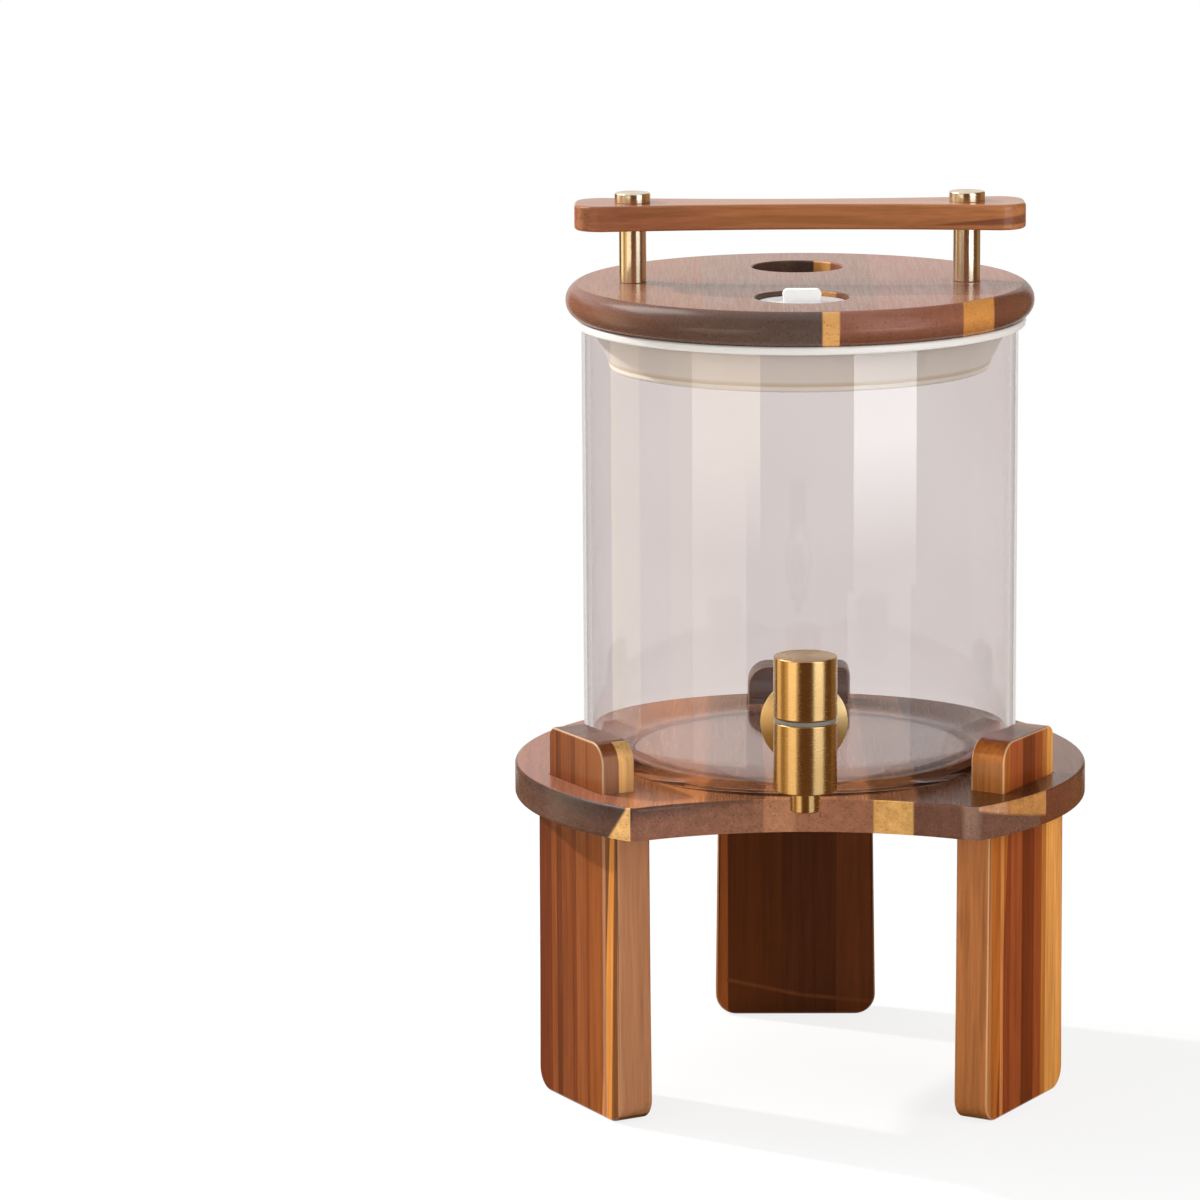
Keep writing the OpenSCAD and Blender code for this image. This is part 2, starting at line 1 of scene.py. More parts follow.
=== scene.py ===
# %% [markdown]
# # A glass drinks dispenser
# This lesson dresses a finished construction model. The frame holds every piece at its real size and place, so
# each step below only remakes what the eye sees: eased wooden edges, turned brass, clear glass and soft silicone.
# The frame could be shown as it is, but its edges are sharp and its finishes are flat, so the visible pieces are
# remade and the hidden ones are painted.

import math
import random

import bmesh
import bpy
from mathutils import Euler, Matrix, Vector
from mathutils.geometry import tessellate_polygon


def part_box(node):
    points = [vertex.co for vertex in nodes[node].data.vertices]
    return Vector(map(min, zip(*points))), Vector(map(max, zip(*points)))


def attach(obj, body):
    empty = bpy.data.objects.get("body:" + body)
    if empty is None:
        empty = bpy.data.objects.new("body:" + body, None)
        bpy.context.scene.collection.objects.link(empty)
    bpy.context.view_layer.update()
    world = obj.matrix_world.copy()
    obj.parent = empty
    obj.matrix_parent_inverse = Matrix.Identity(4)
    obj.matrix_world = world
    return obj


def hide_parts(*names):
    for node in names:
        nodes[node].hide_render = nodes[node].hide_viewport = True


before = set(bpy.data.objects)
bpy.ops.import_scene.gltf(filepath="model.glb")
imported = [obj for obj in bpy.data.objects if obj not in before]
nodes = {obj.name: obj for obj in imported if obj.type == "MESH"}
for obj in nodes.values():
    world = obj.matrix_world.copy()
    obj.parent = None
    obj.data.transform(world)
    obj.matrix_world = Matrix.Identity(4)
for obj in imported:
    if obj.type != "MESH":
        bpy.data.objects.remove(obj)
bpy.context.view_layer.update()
mm = 0.001

# %% [markdown]
# ## Where things are
# A maker measures the carcass before cutting anything to fit it. Each place below is read from the frame's boxes,
# so a piece made here lies exactly where its solid lies. The jar's upright axis is the centre line of nearly
# everything.

# %% Measure the frame


def middle(node):
    low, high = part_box(node)
    return (low + high) / 2


def size(node):
    low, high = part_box(node)
    return high - low


jar_mid = middle("glass_jar")
axis = Vector((jar_mid.x, jar_mid.y, 0))
tap = Vector((middle("tap_knob").x, middle("tap_knob").y, 0))
shank_z = middle("escutcheon").z
print("jar axis at", tuple(round(v / mm, 2) for v in axis), "mm, tap axis at y", round(tap.y / mm, 2), "mm")

# %% [markdown]
# ## The camera
# A product picture like this is taken from a few metres away with a long lens, from a little above the lid. The
# place could be found by eye, but the rims of the lid and the board are circles, and the ovals that they make in a
# picture give the distance, height and tilt far more closely. The frame is square, 36 mm of sensor wide.

# %% Set up the camera
CAMERA_AROUND = math.radians(-1.128)
CAMERA_AWAY = 2.26663
CAMERA_UP = 0.63815
CAMERA_YAW = math.radians(-2.0998)
CAMERA_DOWN = math.radians(10.8706)
CAMERA_ROLL = math.radians(-0.3864)
CAMERA_LENS = 166.318
CAMERA_SENSOR = 36


def in_scene(name, data):
    """A new object that shows this data."""
    made = bpy.data.objects.new(name, data)
    bpy.context.scene.collection.objects.link(made)
    return made


heading = CAMERA_AROUND - CAMERA_YAW
ahead = Vector((-math.sin(heading), math.cos(heading), 0))
rightward = Vector((ahead.y, -ahead.x, 0))
up = Vector((0, 0, 1))
look = ahead * math.cos(CAMERA_DOWN) - up * math.sin(CAMERA_DOWN)
tilted_up = up * math.cos(CAMERA_DOWN) + ahead * math.sin(CAMERA_DOWN)
camera_x = rightward * math.cos(CAMERA_ROLL) + tilted_up * math.sin(CAMERA_ROLL)
camera_y = tilted_up * math.cos(CAMERA_ROLL) - rightward * math.sin(CAMERA_ROLL)

camera = in_scene("camera", bpy.data.cameras.new("camera"))
camera.data.lens = CAMERA_LENS
camera.data.sensor_width = CAMERA_SENSOR
turned_frame = Matrix((camera_x, camera_y, -look)).transposed().to_4x4()
stand_point = Vector((math.sin(CAMERA_AROUND), -math.cos(CAMERA_AROUND), 0)) * CAMERA_AWAY
camera.matrix_world = Matrix.Translation(axis + stand_point + up * CAMERA_UP) @ turned_frame
bpy.context.scene.camera = camera
print("camera", round(CAMERA_AWAY, 2), "m away, looking", round(math.degrees(CAMERA_DOWN), 1), "degrees down")

# %% [markdown]
# ## Colours and nodes
# Colours are written as the sRGB hex codes that a paint chart or a picture editor gives. Shaders work in linear
# light, so one function turns a code to linear. One more function adds a node with its settings and its links,
# which keeps every material below short enough to read. Patterns are laid out in millimetres, as a maker measures.

# %% Helpers for materials


def linear(code):
    parts = [int(code[i:i + 2], 16) / 255 for i in (1, 3, 5)]
    return tuple(c / 12.92 if c <= 0.04045 else ((c + 0.055) / 1.055) ** 2.4 for c in parts) + (1.0,)


def add(tree, kind, inputs=(), **settings):
    """One node. Settings are its properties. Inputs are listed in order or keyed by socket, and each is a value, a
    socket that feeds it, or a node whose first output does."""
    node = tree.nodes.new(kind)
    for key, value in settings.items():
        setattr(node, key, value)
    for key, value in inputs.items() if isinstance(inputs, dict) else enumerate(inputs):
        if isinstance(value, bpy.types.Node):
            value = value.outputs[0]
        if isinstance(value, bpy.types.NodeSocket):
            tree.links.new(value, node.inputs[key])
        else:
            node.inputs[key].default_value = value
    return node


def new_material(name):
    material = bpy.data.materials.new(name)
    material.use_nodes = True
    material.node_tree.nodes.clear()
    return material, material.node_tree


def in_mm(tree, centre=(0, 0, 0), turn=Euler()):
    """Where a point lies in mm from a centre, along axes that may be turned."""
    spot = add(tree, "ShaderNodeTexCoord")
    seat_mm = -(turn.to_matrix() @ Vector(centre)) / mm
    return add(tree, "ShaderNodeMapping", {"Vector": spot.outputs["Object"], "Location": seat_mm,
                                           "Rotation": turn, "Scale": (1 / mm,) * 3})


# A Mix node keeps sockets for each kind of data, and these are the ones for colours
MIX_A, MIX_B, MIX_OUT = 6, 7, 2
print("white is", linear("#FFFFFF")[:3])

# %% [markdown]
# ## Staves and streaks
# Acacia boards are glued up from narrow staves, so red-brown heartwood lies beside pale sapwood with a straight
# joint between them, and darker or paler streaks cross a stave. A picture of wood could be wrapped round each piece,
# but the ends would not match the faces. Here the wood is solid: every point asks how far it lies across the staves,
# through the thickness and along the grain, in millimetres.

# %% Staves and streaks
JOINT_MM = 0.15


def stave_ramp(tree, across, staves):
    """Staves are (where one starts in mm, its colour there, its colour where it ends). The last row says where the
    wood ends."""
    first, last = staves[0][0], staves[-1][0]
    share = add(tree, "ShaderNodeMapRange", [across, first, last])
    ramp = add(tree, "ShaderNodeValToRGB", [share])
    stops = ramp.color_ramp.elements
    stops.remove(stops[1])
    for number, stave in enumerate(staves[:-1]):
        start, end = stave[0], staves[number + 1][0] - JOINT_MM
        stop = stops[0] if number == 0 else stops.new((start - first) / (last - first))
        stop.color = linear(stave[1])
        stops.new((end - first) / (last - first)).color = linear(stave[-1])
    return ramp


def streak_mask(tree, breadth, run, near, far, low, high):
    """1 between two lines. Each is (where it is in mm, how far it leans per mm of the run, how soft it is in mm)."""
    mask = add(tree, "ShaderNodeMath", [run, (low + high) / 2, (high - low) / 2], operation="COMPARE")
    for sign, (edge, lean, soft) in ((1, near), (-1, far)):
        line = add(tree, "ShaderNodeMath", [run, lean, edge], operation="MULTIPLY_ADD")
        past = add(tree, "ShaderNodeMath", [breadth, line], operation="SUBTRACT")
        part = add(tree, "ShaderNodeMapRange", [past, -soft * sign, soft * sign])
        mask = add(tree, "ShaderNodeMath", [mask, part], operation="MULTIPLY")
    return mask


def figured(tree, ways, staves, streaks, face):
    """The wood's colours without its grain: staves, the streaks that cross them, and the show side's own staves. On
    some pieces the streaks and the show side's staves also hold painted light and shade.
    """
    colour = stave_ramp(tree, ways["across"], staves)
    for breadth, run, near, far, low, high, code in streaks:
        mask = streak_mask(tree, ways[breadth], ways[run], near, far, low, high)
        colour = add(tree, "ShaderNodeMix", {0: mask, MIX_A: colour, MIX_B: linear(code)},
                     data_type="RGBA").outputs[MIX_OUT]
    if face:
        above = add(tree, "ShaderNodeMath", [ways["depth"], -face[0]], operation="LESS_THAN")
        shown = stave_ramp(tree, ways["across"], face[1])
        colour = add(tree, "ShaderNodeMix", {0: above, MIX_A: colour, MIX_B: shown},
                     data_type="RGBA").outputs[MIX_OUT]
    return colour


print("glue joints are", JOINT_MM, "mm wide")

# %% [markdown]
# ## Acacia under satin lacquer
# Along the grain run broad bands, fibres and open pores. Lacquer leaves a satin face, and a pale highlight is painted
# along the arrises, more strongly past a given distance along the grain. The pattern is stretched along the grain, so
# long fibres on a face become specks on the end grain by themselves, where the pores look darkest. Each stave is
# shifted by an amount of its own, as if it were cut from another part of the tree.

# %% Acacia
# Real fibres and pores are finer than a quarter of a millimetre, too fine to show, so both are drawn coarser
BAND_MM, FIBRE_MM, PORE_MM = 4.0, 0.9, 1.8
BAND_SPAN, NOISE_SPAN, PORE_SPAN, END_SPAN = (0.32, 0.68), (0.3, 0.7), (0.1, 0.28), (0.35, 0.95)
BAND_DEPTH, FIBRE_DEPTH, PORE_DEPTH, END_PORE_DEPTH = 0.3, 0.17, 0.18, 0.4
GRAIN_STRETCH = 26
STAVE_SHIFT_MM = 90
FACE_MM = 0.1
HIGHLIGHT_BLEND_MM = 1
WOOD_BUMP, WOOD_RELIEF = 0.012, 0.2 * mm
WOOD_GLOSS = (-0.04, 0.06)
LACQUER_IOR = 1.34
# The colour of the painted highlight along the arrises
HIGHLIGHT_TONE = "#EFCFA6"


def long_grain(tree, place, across, staves, name):
    """Where a point lies in the grain: drawn out along it, and shifted from stave to stave."""
    draw = random.Random(name)
    greys = ["#" + 3 * format(draw.randrange(256), "02X") for _ in staves[:-1]]
    shifts = stave_ramp(tree, across, [(stave[0], grey) for stave, grey in zip(staves, greys)] + [staves[-1]])
    shift = add(tree, "ShaderNodeVectorMath", [shifts, (0, STAVE_SHIFT_MM, STAVE_SHIFT_MM)], operation="MULTIPLY")
    own = add(tree, "ShaderNodeVectorMath", [place, shift], operation="ADD")
    return add(tree, "ShaderNodeVectorMath", [own, (1, 1, 1 / GRAIN_STRETCH)], operation="MULTIPLY")


def acacia(name, centre, turn, staves, streaks=(), face=None, lively=1.0, rough=0.16, end_tone=0.9,
           arris_highlight=(0, 0, 0)):
    """A streak is (its breadth and run, two lines, where the run starts and stops, a colour). A face is (the depth in
    mm above which it lies, its own staves): the show side of a board. The arris highlight is (a distance along the
    grain in mm, how strong the painted highlight on the arrises is before it, how strong after it)."""
    material, tree = new_material(name)
    place = in_mm(tree, centre, turn)
    across, depth, along = add(tree, "ShaderNodeSeparateXYZ", [place]).outputs
    colour = figured(tree, {"across": across, "depth": depth, "along": along}, staves, streaks, face)
    grain = long_grain(tree, place, across, staves, name)
    bands = add(tree, "ShaderNodeTexNoise", {"Vector": grain, "Scale": 1 / BAND_MM, "Detail": 4, "Roughness": 0.6,
                                             "Distortion": 0.5})
    fibres = add(tree, "ShaderNodeTexNoise", {"Vector": grain, "Scale": 1 / FIBRE_MM, "Detail": 2})
    pores = add(tree, "ShaderNodeTexVoronoi", {"Vector": grain, "Scale": 1 / PORE_MM})
    normal = add(tree, "ShaderNodeTexCoord").outputs["Normal"]
    facing = add(tree, "ShaderNodeMapping", {"Vector": normal, "Rotation": turn}, vector_type="NORMAL")
    on_grain = add(tree, "ShaderNodeSeparateXYZ", [facing]).outputs[2]
    end = add(tree, "ShaderNodeMath", [on_grain], operation="ABSOLUTE")
    banded = add(tree, "ShaderNodeMapRange", [bands, *BAND_SPAN, 1 - BAND_DEPTH * lively, 1 + BAND_DEPTH * lively])
    fibred = add(tree, "ShaderNodeMapRange", [fibres, *NOISE_SPAN, 1 - FIBRE_DEPTH * lively, 1 + FIBRE_DEPTH * lively])
    pore_tone = add(tree, "ShaderNodeMapRange", [end, *END_SPAN, 1 - PORE_DEPTH * lively, 1 - END_PORE_DEPTH])
    open_pore = add(tree, "ShaderNodeMapRange", [pores.outputs["Distance"], *PORE_SPAN, pore_tone, 1])
    dulled = add(tree, "ShaderNodeMapRange", [end, *END_SPAN, 1, end_tone])
    for factor in (banded, fibred, open_pore, dulled):
        colour = add(tree, "ShaderNodeMix", {0: 1, MIX_A: colour, MIX_B: factor}, data_type="RGBA",
                     blend_type="MULTIPLY").outputs[MIX_OUT]
    # The pale line along the arrises is a painted highlight, stronger past the given distance along the grain
    arris = add(tree, "ShaderNodeAttribute", attribute_name="arris").outputs["Fac"]
    highlight_from, before, after = arris_highlight
    pale = add(tree, "ShaderNodeMapRange", [along, highlight_from - HIGHLIGHT_BLEND_MM, highlight_from + HIGHLIGHT_BLEND_MM, before, after])
    lit_arris = add(tree, "ShaderNodeMath", [arris, pale], operation="MULTIPLY")
    colour = add(tree, "ShaderNodeMix", {0: lit_arris, MIX_A: colour, MIX_B: linear(HIGHLIGHT_TONE)},
                 data_type="RGBA").outputs[MIX_OUT]
    gloss = add(tree, "ShaderNodeMapRange", [fibres, *NOISE_SPAN, *[rough + more for more in WOOD_GLOSS]])
    relief = add(tree, "ShaderNodeMath", [fibres, open_pore], operation="ADD")
    bump = add(tree, "ShaderNodeBump", {"Height": relief, "Strength": WOOD_BUMP * lively, "Distance": WOOD_RELIEF})
    shader = add(tree, "ShaderNodeBsdfPrincipled", {"Base Color": colour, "Roughness": gloss, "Normal": bump,
                                                    "IOR": LACQUER_IOR})
    add(tree, "ShaderNodeOutputMaterial", [shader])
    print(name, "has", len(staves) - 1, "staves and", len(streaks), "streaks")
    return material


# Turns that bring a piece's width, thickness and grain to the pattern's own X, Y and Z
FRONT_TO_BACK = Matrix(((1, 0, 0), (0, 0, -1), (0, 1, 0))).to_euler()
SIDE_TO_SIDE = Matrix(((0, 1, 0), (0, 0, 1), (1, 0, 0))).to_euler()

# %% [markdown]
# ## Turned brass with a satin face
# The tap, posts and caps are turned on a lathe, then rubbed with a fine abrasive while they spin, so hair-thin
# lines run round them. Those lines smear a reflection up and down the piece and leave its sides crisp, which is
# why brass bars show long bright stripes. The lines could be modelled, but they are far finer than a pixel, so
# the shader's anisotropy does the smearing and a coarser grain of lines only varies the gloss.

# %% Brass
BRUSH_LINE_MM = 0.35
BRUSH_STRETCH = 0.04
BRUSH_BUMP, BRUSH_RELIEF = 0.0045, 0.02 * mm
BRUSH_GLOSS = (-0.004, 0.005)
BRUSH_SMEAR = 0.7
TARNISH_MM = 14
TARNISH_SPAN = (0.3, 0.75)


def satin_brass(name, centre, round_axis, rough=0.27, tones=("#CBAA73", "#D4B37E")):
    material, tree = new_material(name)
    place = in_mm(tree, centre)
    along = [1 if way == round_axis else BRUSH_STRETCH for way in "XYZ"]
    thin = add(tree, "ShaderNodeVectorMath", [place, along], operation="MULTIPLY")
    lines = add(tree, "ShaderNodeTexNoise", {"Vector": thin, "Scale": 1 / BRUSH_LINE_MM, "Detail": 3})
    tarnish = add(tree, "ShaderNodeTexNoise", {"Vector": place, "Scale": 1 / TARNISH_MM, "Detail": 3})
    tint = add(tree, "ShaderNodeValToRGB", [tarnish])
    for stop, position, tone in zip(tint.color_ramp.elements, TARNISH_SPAN, tones):
        stop.position, stop.color = position, linear(tone)
    gloss = add(tree, "ShaderNodeMapRange", [lines, *NOISE_SPAN, *[rough + more for more in BRUSH_GLOSS]])
    bump = add(tree, "ShaderNodeBump", {"Height": lines, "Strength": BRUSH_BUMP, "Distance": BRUSH_RELIEF})
    around = add(tree, "ShaderNodeTangent", direction_type="RADIAL", axis=round_axis)
    # A quarter turn lays the smear across the lines
    shader = add(tree, "ShaderNodeBsdfPrincipled", {
        "Base Color": tint, "Metallic": 1, "Roughness": gloss, "Normal": bump, "Anisotropic": BRUSH_SMEAR,
        "Anisotropic Rotation": 0.25, "Tangent": around})
    add(tree, "ShaderNodeOutputMaterial", [shader])
    print(name, "has lines", BRUSH_LINE_MM, "mm apart round", round_axis)
    return material


tap_brass = satin_brass("satin_brass_tap", tap, "Z")
plate_brass = satin_brass("satin_brass_plate", tap + up * shank_z, "Y", 0.4, ("#E9CB90", "#F0D7A4"))

# %% [markdown]
# ## Clear glass
# The jar is borosilicate glass, blown into a tube and worked, so it is very clear, with a trace of grey that changes
# slowly from place to place. Real lamps shine through glass, but a renderer's shadow rays stop at it, so the usual
# remedy is used: rays that look for lamps meet a Transparent shader instead, and everything inside the jar stays
# bright.

# %% Glass
TRACE_MM = 60
GLASS_IOR = 1.474


def clear_glass(name, centre):
    material, tree = new_material(name)
    trace = add(tree, "ShaderNodeTexNoise", {"Vector": in_mm(tree, centre), "Scale": 1 / TRACE_MM, "Detail": 1})
    tint = add(tree, "ShaderNodeMix", {0: trace, MIX_A: linear("#E6E0DF"), MIX_B: linear("#EEE9E8")},
               data_type="RGBA").outputs[MIX_OUT]
    shader = add(tree, "ShaderNodeBsdfPrincipled", {"Base Color": tint, "Roughness": 0, "IOR": GLASS_IOR,
                                                    "Transmission Weight": 1})
    see_through = add(tree, "ShaderNodeBsdfTransparent", {"Color": (1, 1, 1, 1)})
    for_lamps = add(tree, "ShaderNodeLightPath").outputs["Is Shadow Ray"]
    both = add(tree, "ShaderNodeMixShader", [for_lamps, shader, see_through])
    add(tree, "ShaderNodeOutputMaterial", [both])
    print(name, "changes over", TRACE_MM, "mm")
    return material


jar_glass = clear_glass("borosilicate_glass", jar_mid)

# %% [markdown]
# ## Moulded rubber, plastic and steel
# The plug and washers are moulded white silicone: soft, a little waxy, with light going a short way in. The ring
# under the knob is grey acetal, which glides on brass. O-rings are black rubber and the screws are zinc-plated steel.
# Each could have a material of its own make, but all are plain, so one function gives them a fine grain of bumps.

# %% Moulded materials
# A mould leaves a grain finer than a tenth of a millimetre, which is drawn coarser so that it shows
SPECK_MM = 0.6
CLOUD_MM = 20
MOULD_BUMP, MOULD_RELIEF = 0.06, 0.1 * mm
MOULD_GLOSS = (-0.05, 0.05)
WAX_RADII, WAX_DEPTH = (1.0, 0.9, 0.75), 2 * mm


def moulded(name, tones, rough, metal=0.0, waxy=0.0):
    """The tones are two colours that it clouds between, or rows that change with the height in mm, as a board's staves
    do across it."""
    material, tree = new_material(name)
    spot = add(tree, "ShaderNodeTexCoord").outputs["Object"]
    grain = add(tree, "ShaderNodeTexNoise", {"Vector": spot, "Scale": 1 / (SPECK_MM * mm), "Detail": 3})
    if isinstance(tones[0], str):
        cloud = add(tree, "ShaderNodeTexNoise", {"Vector": spot, "Scale": 1 / (CLOUD_MM * mm)})
        tint = add(tree, "ShaderNodeMix", {0: cloud, MIX_A: linear(tones[0]), MIX_B: linear(tones[1])},
                   data_type="RGBA").outputs[MIX_OUT]
    else:
        height = add(tree, "ShaderNodeSeparateXYZ", [in_mm(tree)]).outputs[2]
        tint = stave_ramp(tree, height, tones)
    gloss = add(tree, "ShaderNodeMapRange", [grain, *NOISE_SPAN, *[rough + more for more in MOULD_GLOSS]])
    bump = add(tree, "ShaderNodeBump", {"Height": grain, "Strength": MOULD_BUMP, "Distance": MOULD_RELIEF})
    shader = add(tree, "ShaderNodeBsdfPrincipled", {
        "Base Color": tint, "Roughness": gloss, "Normal": bump, "Metallic": metal, "Subsurface Weight": waxy,
        "Subsurface Radius": WAX_RADII, "Subsurface Scale": WAX_DEPTH})
    add(tree, "ShaderNodeOutputMaterial", [shader])
    print(name, "has a", SPECK_MM, "mm grain")
    return material


silicone = moulded("moulded_white_silicone", ("#FAFAFA", "#FDFDFD"), 0.42, waxy=0.2)
acetal = moulded("grey_acetal", ("#6C675E", "#777067"), 0.45)
rubber = moulded("black_nitrile_rubber", ("#191919", "#222222"), 0.5)
steel = moulded("zinc_plated_steel", ("#B9BBBE", "#C8C9CB"), 0.3, metal=1.0)

# %% [markdown]
# ## Outlines
# Nearly everything here is either sawn from a plank or turned on a lathe, and both start from a drawn line. Its
# corners are listed with a radius beside each, as on a workshop drawing, and a function puts the arcs in. Modifiers
# could round the edges afterwards, but rounding while the line is drawn keeps the mesh in clean strips.

# %% Lines and arcs
EDGE_STEPS = 10


def arc(centre, radius, start, stop, steps):
    """Points on an arc between two angles in degrees."""
    turns = [math.radians(start + (stop - start) * i / steps) for i in range(steps + 1)]
    return [Vector(centre) + radius * Vector((math.cos(a), math.sin(a))) for a in turns]


def ring_line(radius, sides, centre=(0, 0), way=1):
    """A whole round of points, anticlockwise, or clockwise where the way is -1."""
    return arc(centre, radius, 0, way * 360 * (sides - 1) / sides, sides - 1)


def eased(corners, closed=True, steps=EDGE_STEPS):
    """Corners are (x, y, radius). Each one becomes an arc that meets both of its sides."""
    line = []
    for i, (x, y, radius) in enumerate(corners):
        corner = Vector((x, y))
        at_end = not closed and i in (0, len(corners) - 1)
        if radius == 0 or at_end:
            line.append(corner)
            continue
        back = (Vector(corners[i - 1][:2]) - corner).normalized()
        on = (Vector(corners[(i + 1) % len(corners)][:2]) - corner).normalized()
        half = back.angle(on) / 2
        hub = corner + (back + on).normalized() * radius / math.sin(half)
        start = corner + back * radius / math.tan(half) - hub
        sweep = start.angle_signed(corner + on * radius / math.tan(half) - hub)
        line += [hub + Matrix.Rotation(-sweep * k / steps, 2) @ start for k in range(steps + 1)]
    return line


def drawn_in(points, inset):
    """The same outline moved to its left, which is into the wood."""
    moved = []
    for i, spot in enumerate(points):
        back = (spot - points[i - 1]).normalized()
        on = (points[(i + 1) % len(points)] - spot).normalized()
        left, next_left = Vector((-back.y, back.x)), Vector((-on.y, on.x))
        moved.append(spot + (left + next_left) * inset / (1 + left.dot(next_left)))
    return moved


print("each rounded edge is drawn in", EDGE_STEPS, "steps")

# %% [markdown]
# ## Planks and turnings
# A plank piece is an outline with a thickness whose edges are rounded over. A turned piece is half a section swept
# round an axis. Spin and Bevel could make them too, but rings of points that are joined one to the next keep control
# of each strip. A plank also notes which points lie on an arris, the corner of an edge, so that a pale highlight can
# be painted there.

# %% Strips of faces
ROUND_STEPS = 192
ON_AXIS = 1e-6


def joined(mesh, rings, closed=False):
    """Fills between rings of points that follow each other. A ring of one point is a pole."""
    pairs = list(zip(rings, rings[1:])) + ([(rings[-1], rings[0])] if closed else [])
    for low, high in pairs:
        steps = max(len(low), len(high))
        for i in range(steps):
            j = (i + 1) % steps
            around = [low[i % len(low)], low[j % len(low)], high[j % len(high)], high[i % len(high)]]
            corners = list(dict.fromkeys(around))
            if len(corners) > 2:
                mesh.faces.new(corners)


def plank(outlines, low, high):
    """Outlines are (points, edge radius, arris angle): the outside first, anticlockwise, then any holes, clockwise.
    The edge leaves the flat face at the arris angle, and 0 is a smooth start."""
    mesh = bmesh.new()
    on_arris = mesh.verts.layers.float.new("arris")
    caps = [], []
    for points, edge, arris in outlines:
        bends = [arris + (math.pi / 2 - arris) * k / EDGE_STEPS for k in range(EDGE_STEPS + 1)]
        rise = [(edge * (1 - math.sin(a)), low + edge * (math.cos(arris) - math.cos(a))) for a in bends]
        fall = [(inset, low + high - height) for inset, height in reversed(rise)]
        rings = [[mesh.verts.new((*spot, height)) for spot in drawn_in(points, inset)]
                 for inset, height in rise + fall]
        shares = [math.sin(2 * a) ** 4 for a in bends]
        for ring, share in zip(rings, shares + shares[::-1]):
            for vert in ring:
                vert[on_arris] = share
        joined(mesh, rings)
        caps[0].append(rings[0])
        caps[1].append(rings[-1])
    for loops in caps:
        corners = [vert for loop in loops for vert in loop]
        for three in tessellate_polygon([[vert.co for vert in loop] for loop in loops]):
            mesh.faces.new([corners[i] for i in three])
    return mesh


def turning(section, steps=ROUND_STEPS):
    """A half section of (radius, height) points swept round Z. It is closed where it stays off the axis."""
    mesh = bmesh.new()
    rings = []
    for radius, height in section:
        count = steps if radius > ON_AXIS else 1
        angles = [2 * math.pi * i / steps for i in range(count)]
        rings.append([mesh.verts.new((radius * math.cos(a), radius * math.sin(a), height)) for a in angles])
    joined(mesh, rings, closed=len(rings[0]) > 1)
    return mesh


print("turned pieces have", ROUND_STEPS, "sides")

# %% [markdown]
# ## Seating a piece
# A finished mesh gets its place, its finish and smooth shading. It is then told which body it moves with and which
# solids it stands for. Modifiers could stay live, but a plain mesh is the same everywhere, so each one is applied at
# once.

# %% Seat a piece
WELD = 1e-7
SHARP = 40
moved_to = Matrix.Translation


def settle(made):
    """Turns what an object's modifiers give into its own plain mesh."""
    state = bpy.context.evaluated_depsgraph_get()
    data = bpy.data.meshes.new_from_object(made.evaluated_get(state), depsgraph=state)
    made.modifiers.clear()
    made.data = data
    data.name = made.name


def as_data(name, mesh, material):
    """A mesh that objects can show, from one that was being built."""
    data = bpy.data.meshes.new(name)
    mesh.to_mesh(data)
    mesh.free()
    data.materials.append(material)
    return data


def shaped(name, mesh, material, place, sharp=SHARP):
    """A mesh in its place in the frame, smooth but for its sharp edges."""
    mesh.transform(place)
    bmesh.ops.remove_doubles(mesh, verts=mesh.verts, dist=WELD)
    bmesh.ops.recalc_face_normals(mesh, faces=mesh.faces)
    for face in mesh.faces:
        face.smooth = True
    data = as_data(name, mesh, material)
    data.set_sharp_from_angle(angle=math.radians(sharp))
    made = in_scene(name, data)
    weights = made.modifiers.new("flat faces stay flat", "WEIGHTED_NORMAL")
    weights.keep_sharp = True
    settle(made)
    return made


def carved(made, tool, operation):
    """Cuts a tool's shape out of a piece, or joins it on, and puts the tool away."""
    change = made.modifiers.new("carve", "BOOLEAN")
    change.object = tool
    change.operation = operation
    change.solver = "EXACT"
    settle(made)
    bpy.data.objects.remove(tool)


def seat(made, body, stands_for):
    """Tells the frame what a piece moves with and which solids it stands for."""
    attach(made, body)
    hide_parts(*stands_for)
    print(made.name, "has", len(made.data.polygons), "faces")


def piece(name, mesh, material, body, stands_for, place, sharp=SHARP):
    """A shaped mesh on the body that it moves with."""
    seat(shaped(name, mesh, material, place, sharp), body, stands_for)


print("points within", WELD, "m of each other are merged")

# %% [markdown]
# ## The stand's board
# A round board, glued up from staves that run from front to back, with one hollow bite at the front so that a cup
# can stand close under the tap. It is sawn to shape, its edges are rounded over with a router, and three mortises
# take the legs' tenons. The outline is drawn as arcs that meet smoothly at the two corners of the bite.

# %% Stand board
BITE_HALF = 69 * mm
BITE_MID = 79.5 * mm
BITE_CORNER = 6 * mm
STUB_FRONT = 21.25 * mm
STUB_BACK = 24.25 * mm
MORTISE_ROOM = 0.1 * mm
BOARD_EDGE = 1.5 * mm
MORTISE_EDGE = 0.4 * mm
CORNER_STEPS, RIM_STEPS, BITE_STEPS = 8, 160, 48
# Each leg's angle, and the side of its centre line that faces the front
LEG_PLACES = {"leg_front_left": (210, 1), "leg_front_right": (330, -1), "leg_rear": (90, 1)}

board_low, board_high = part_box("stand_board")
board_r = size("stand_board").x / 2
leg_low, leg_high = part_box("leg_rear")
leg_in = leg_low.y - axis.y
leg_t = leg_high.y - leg_low.y

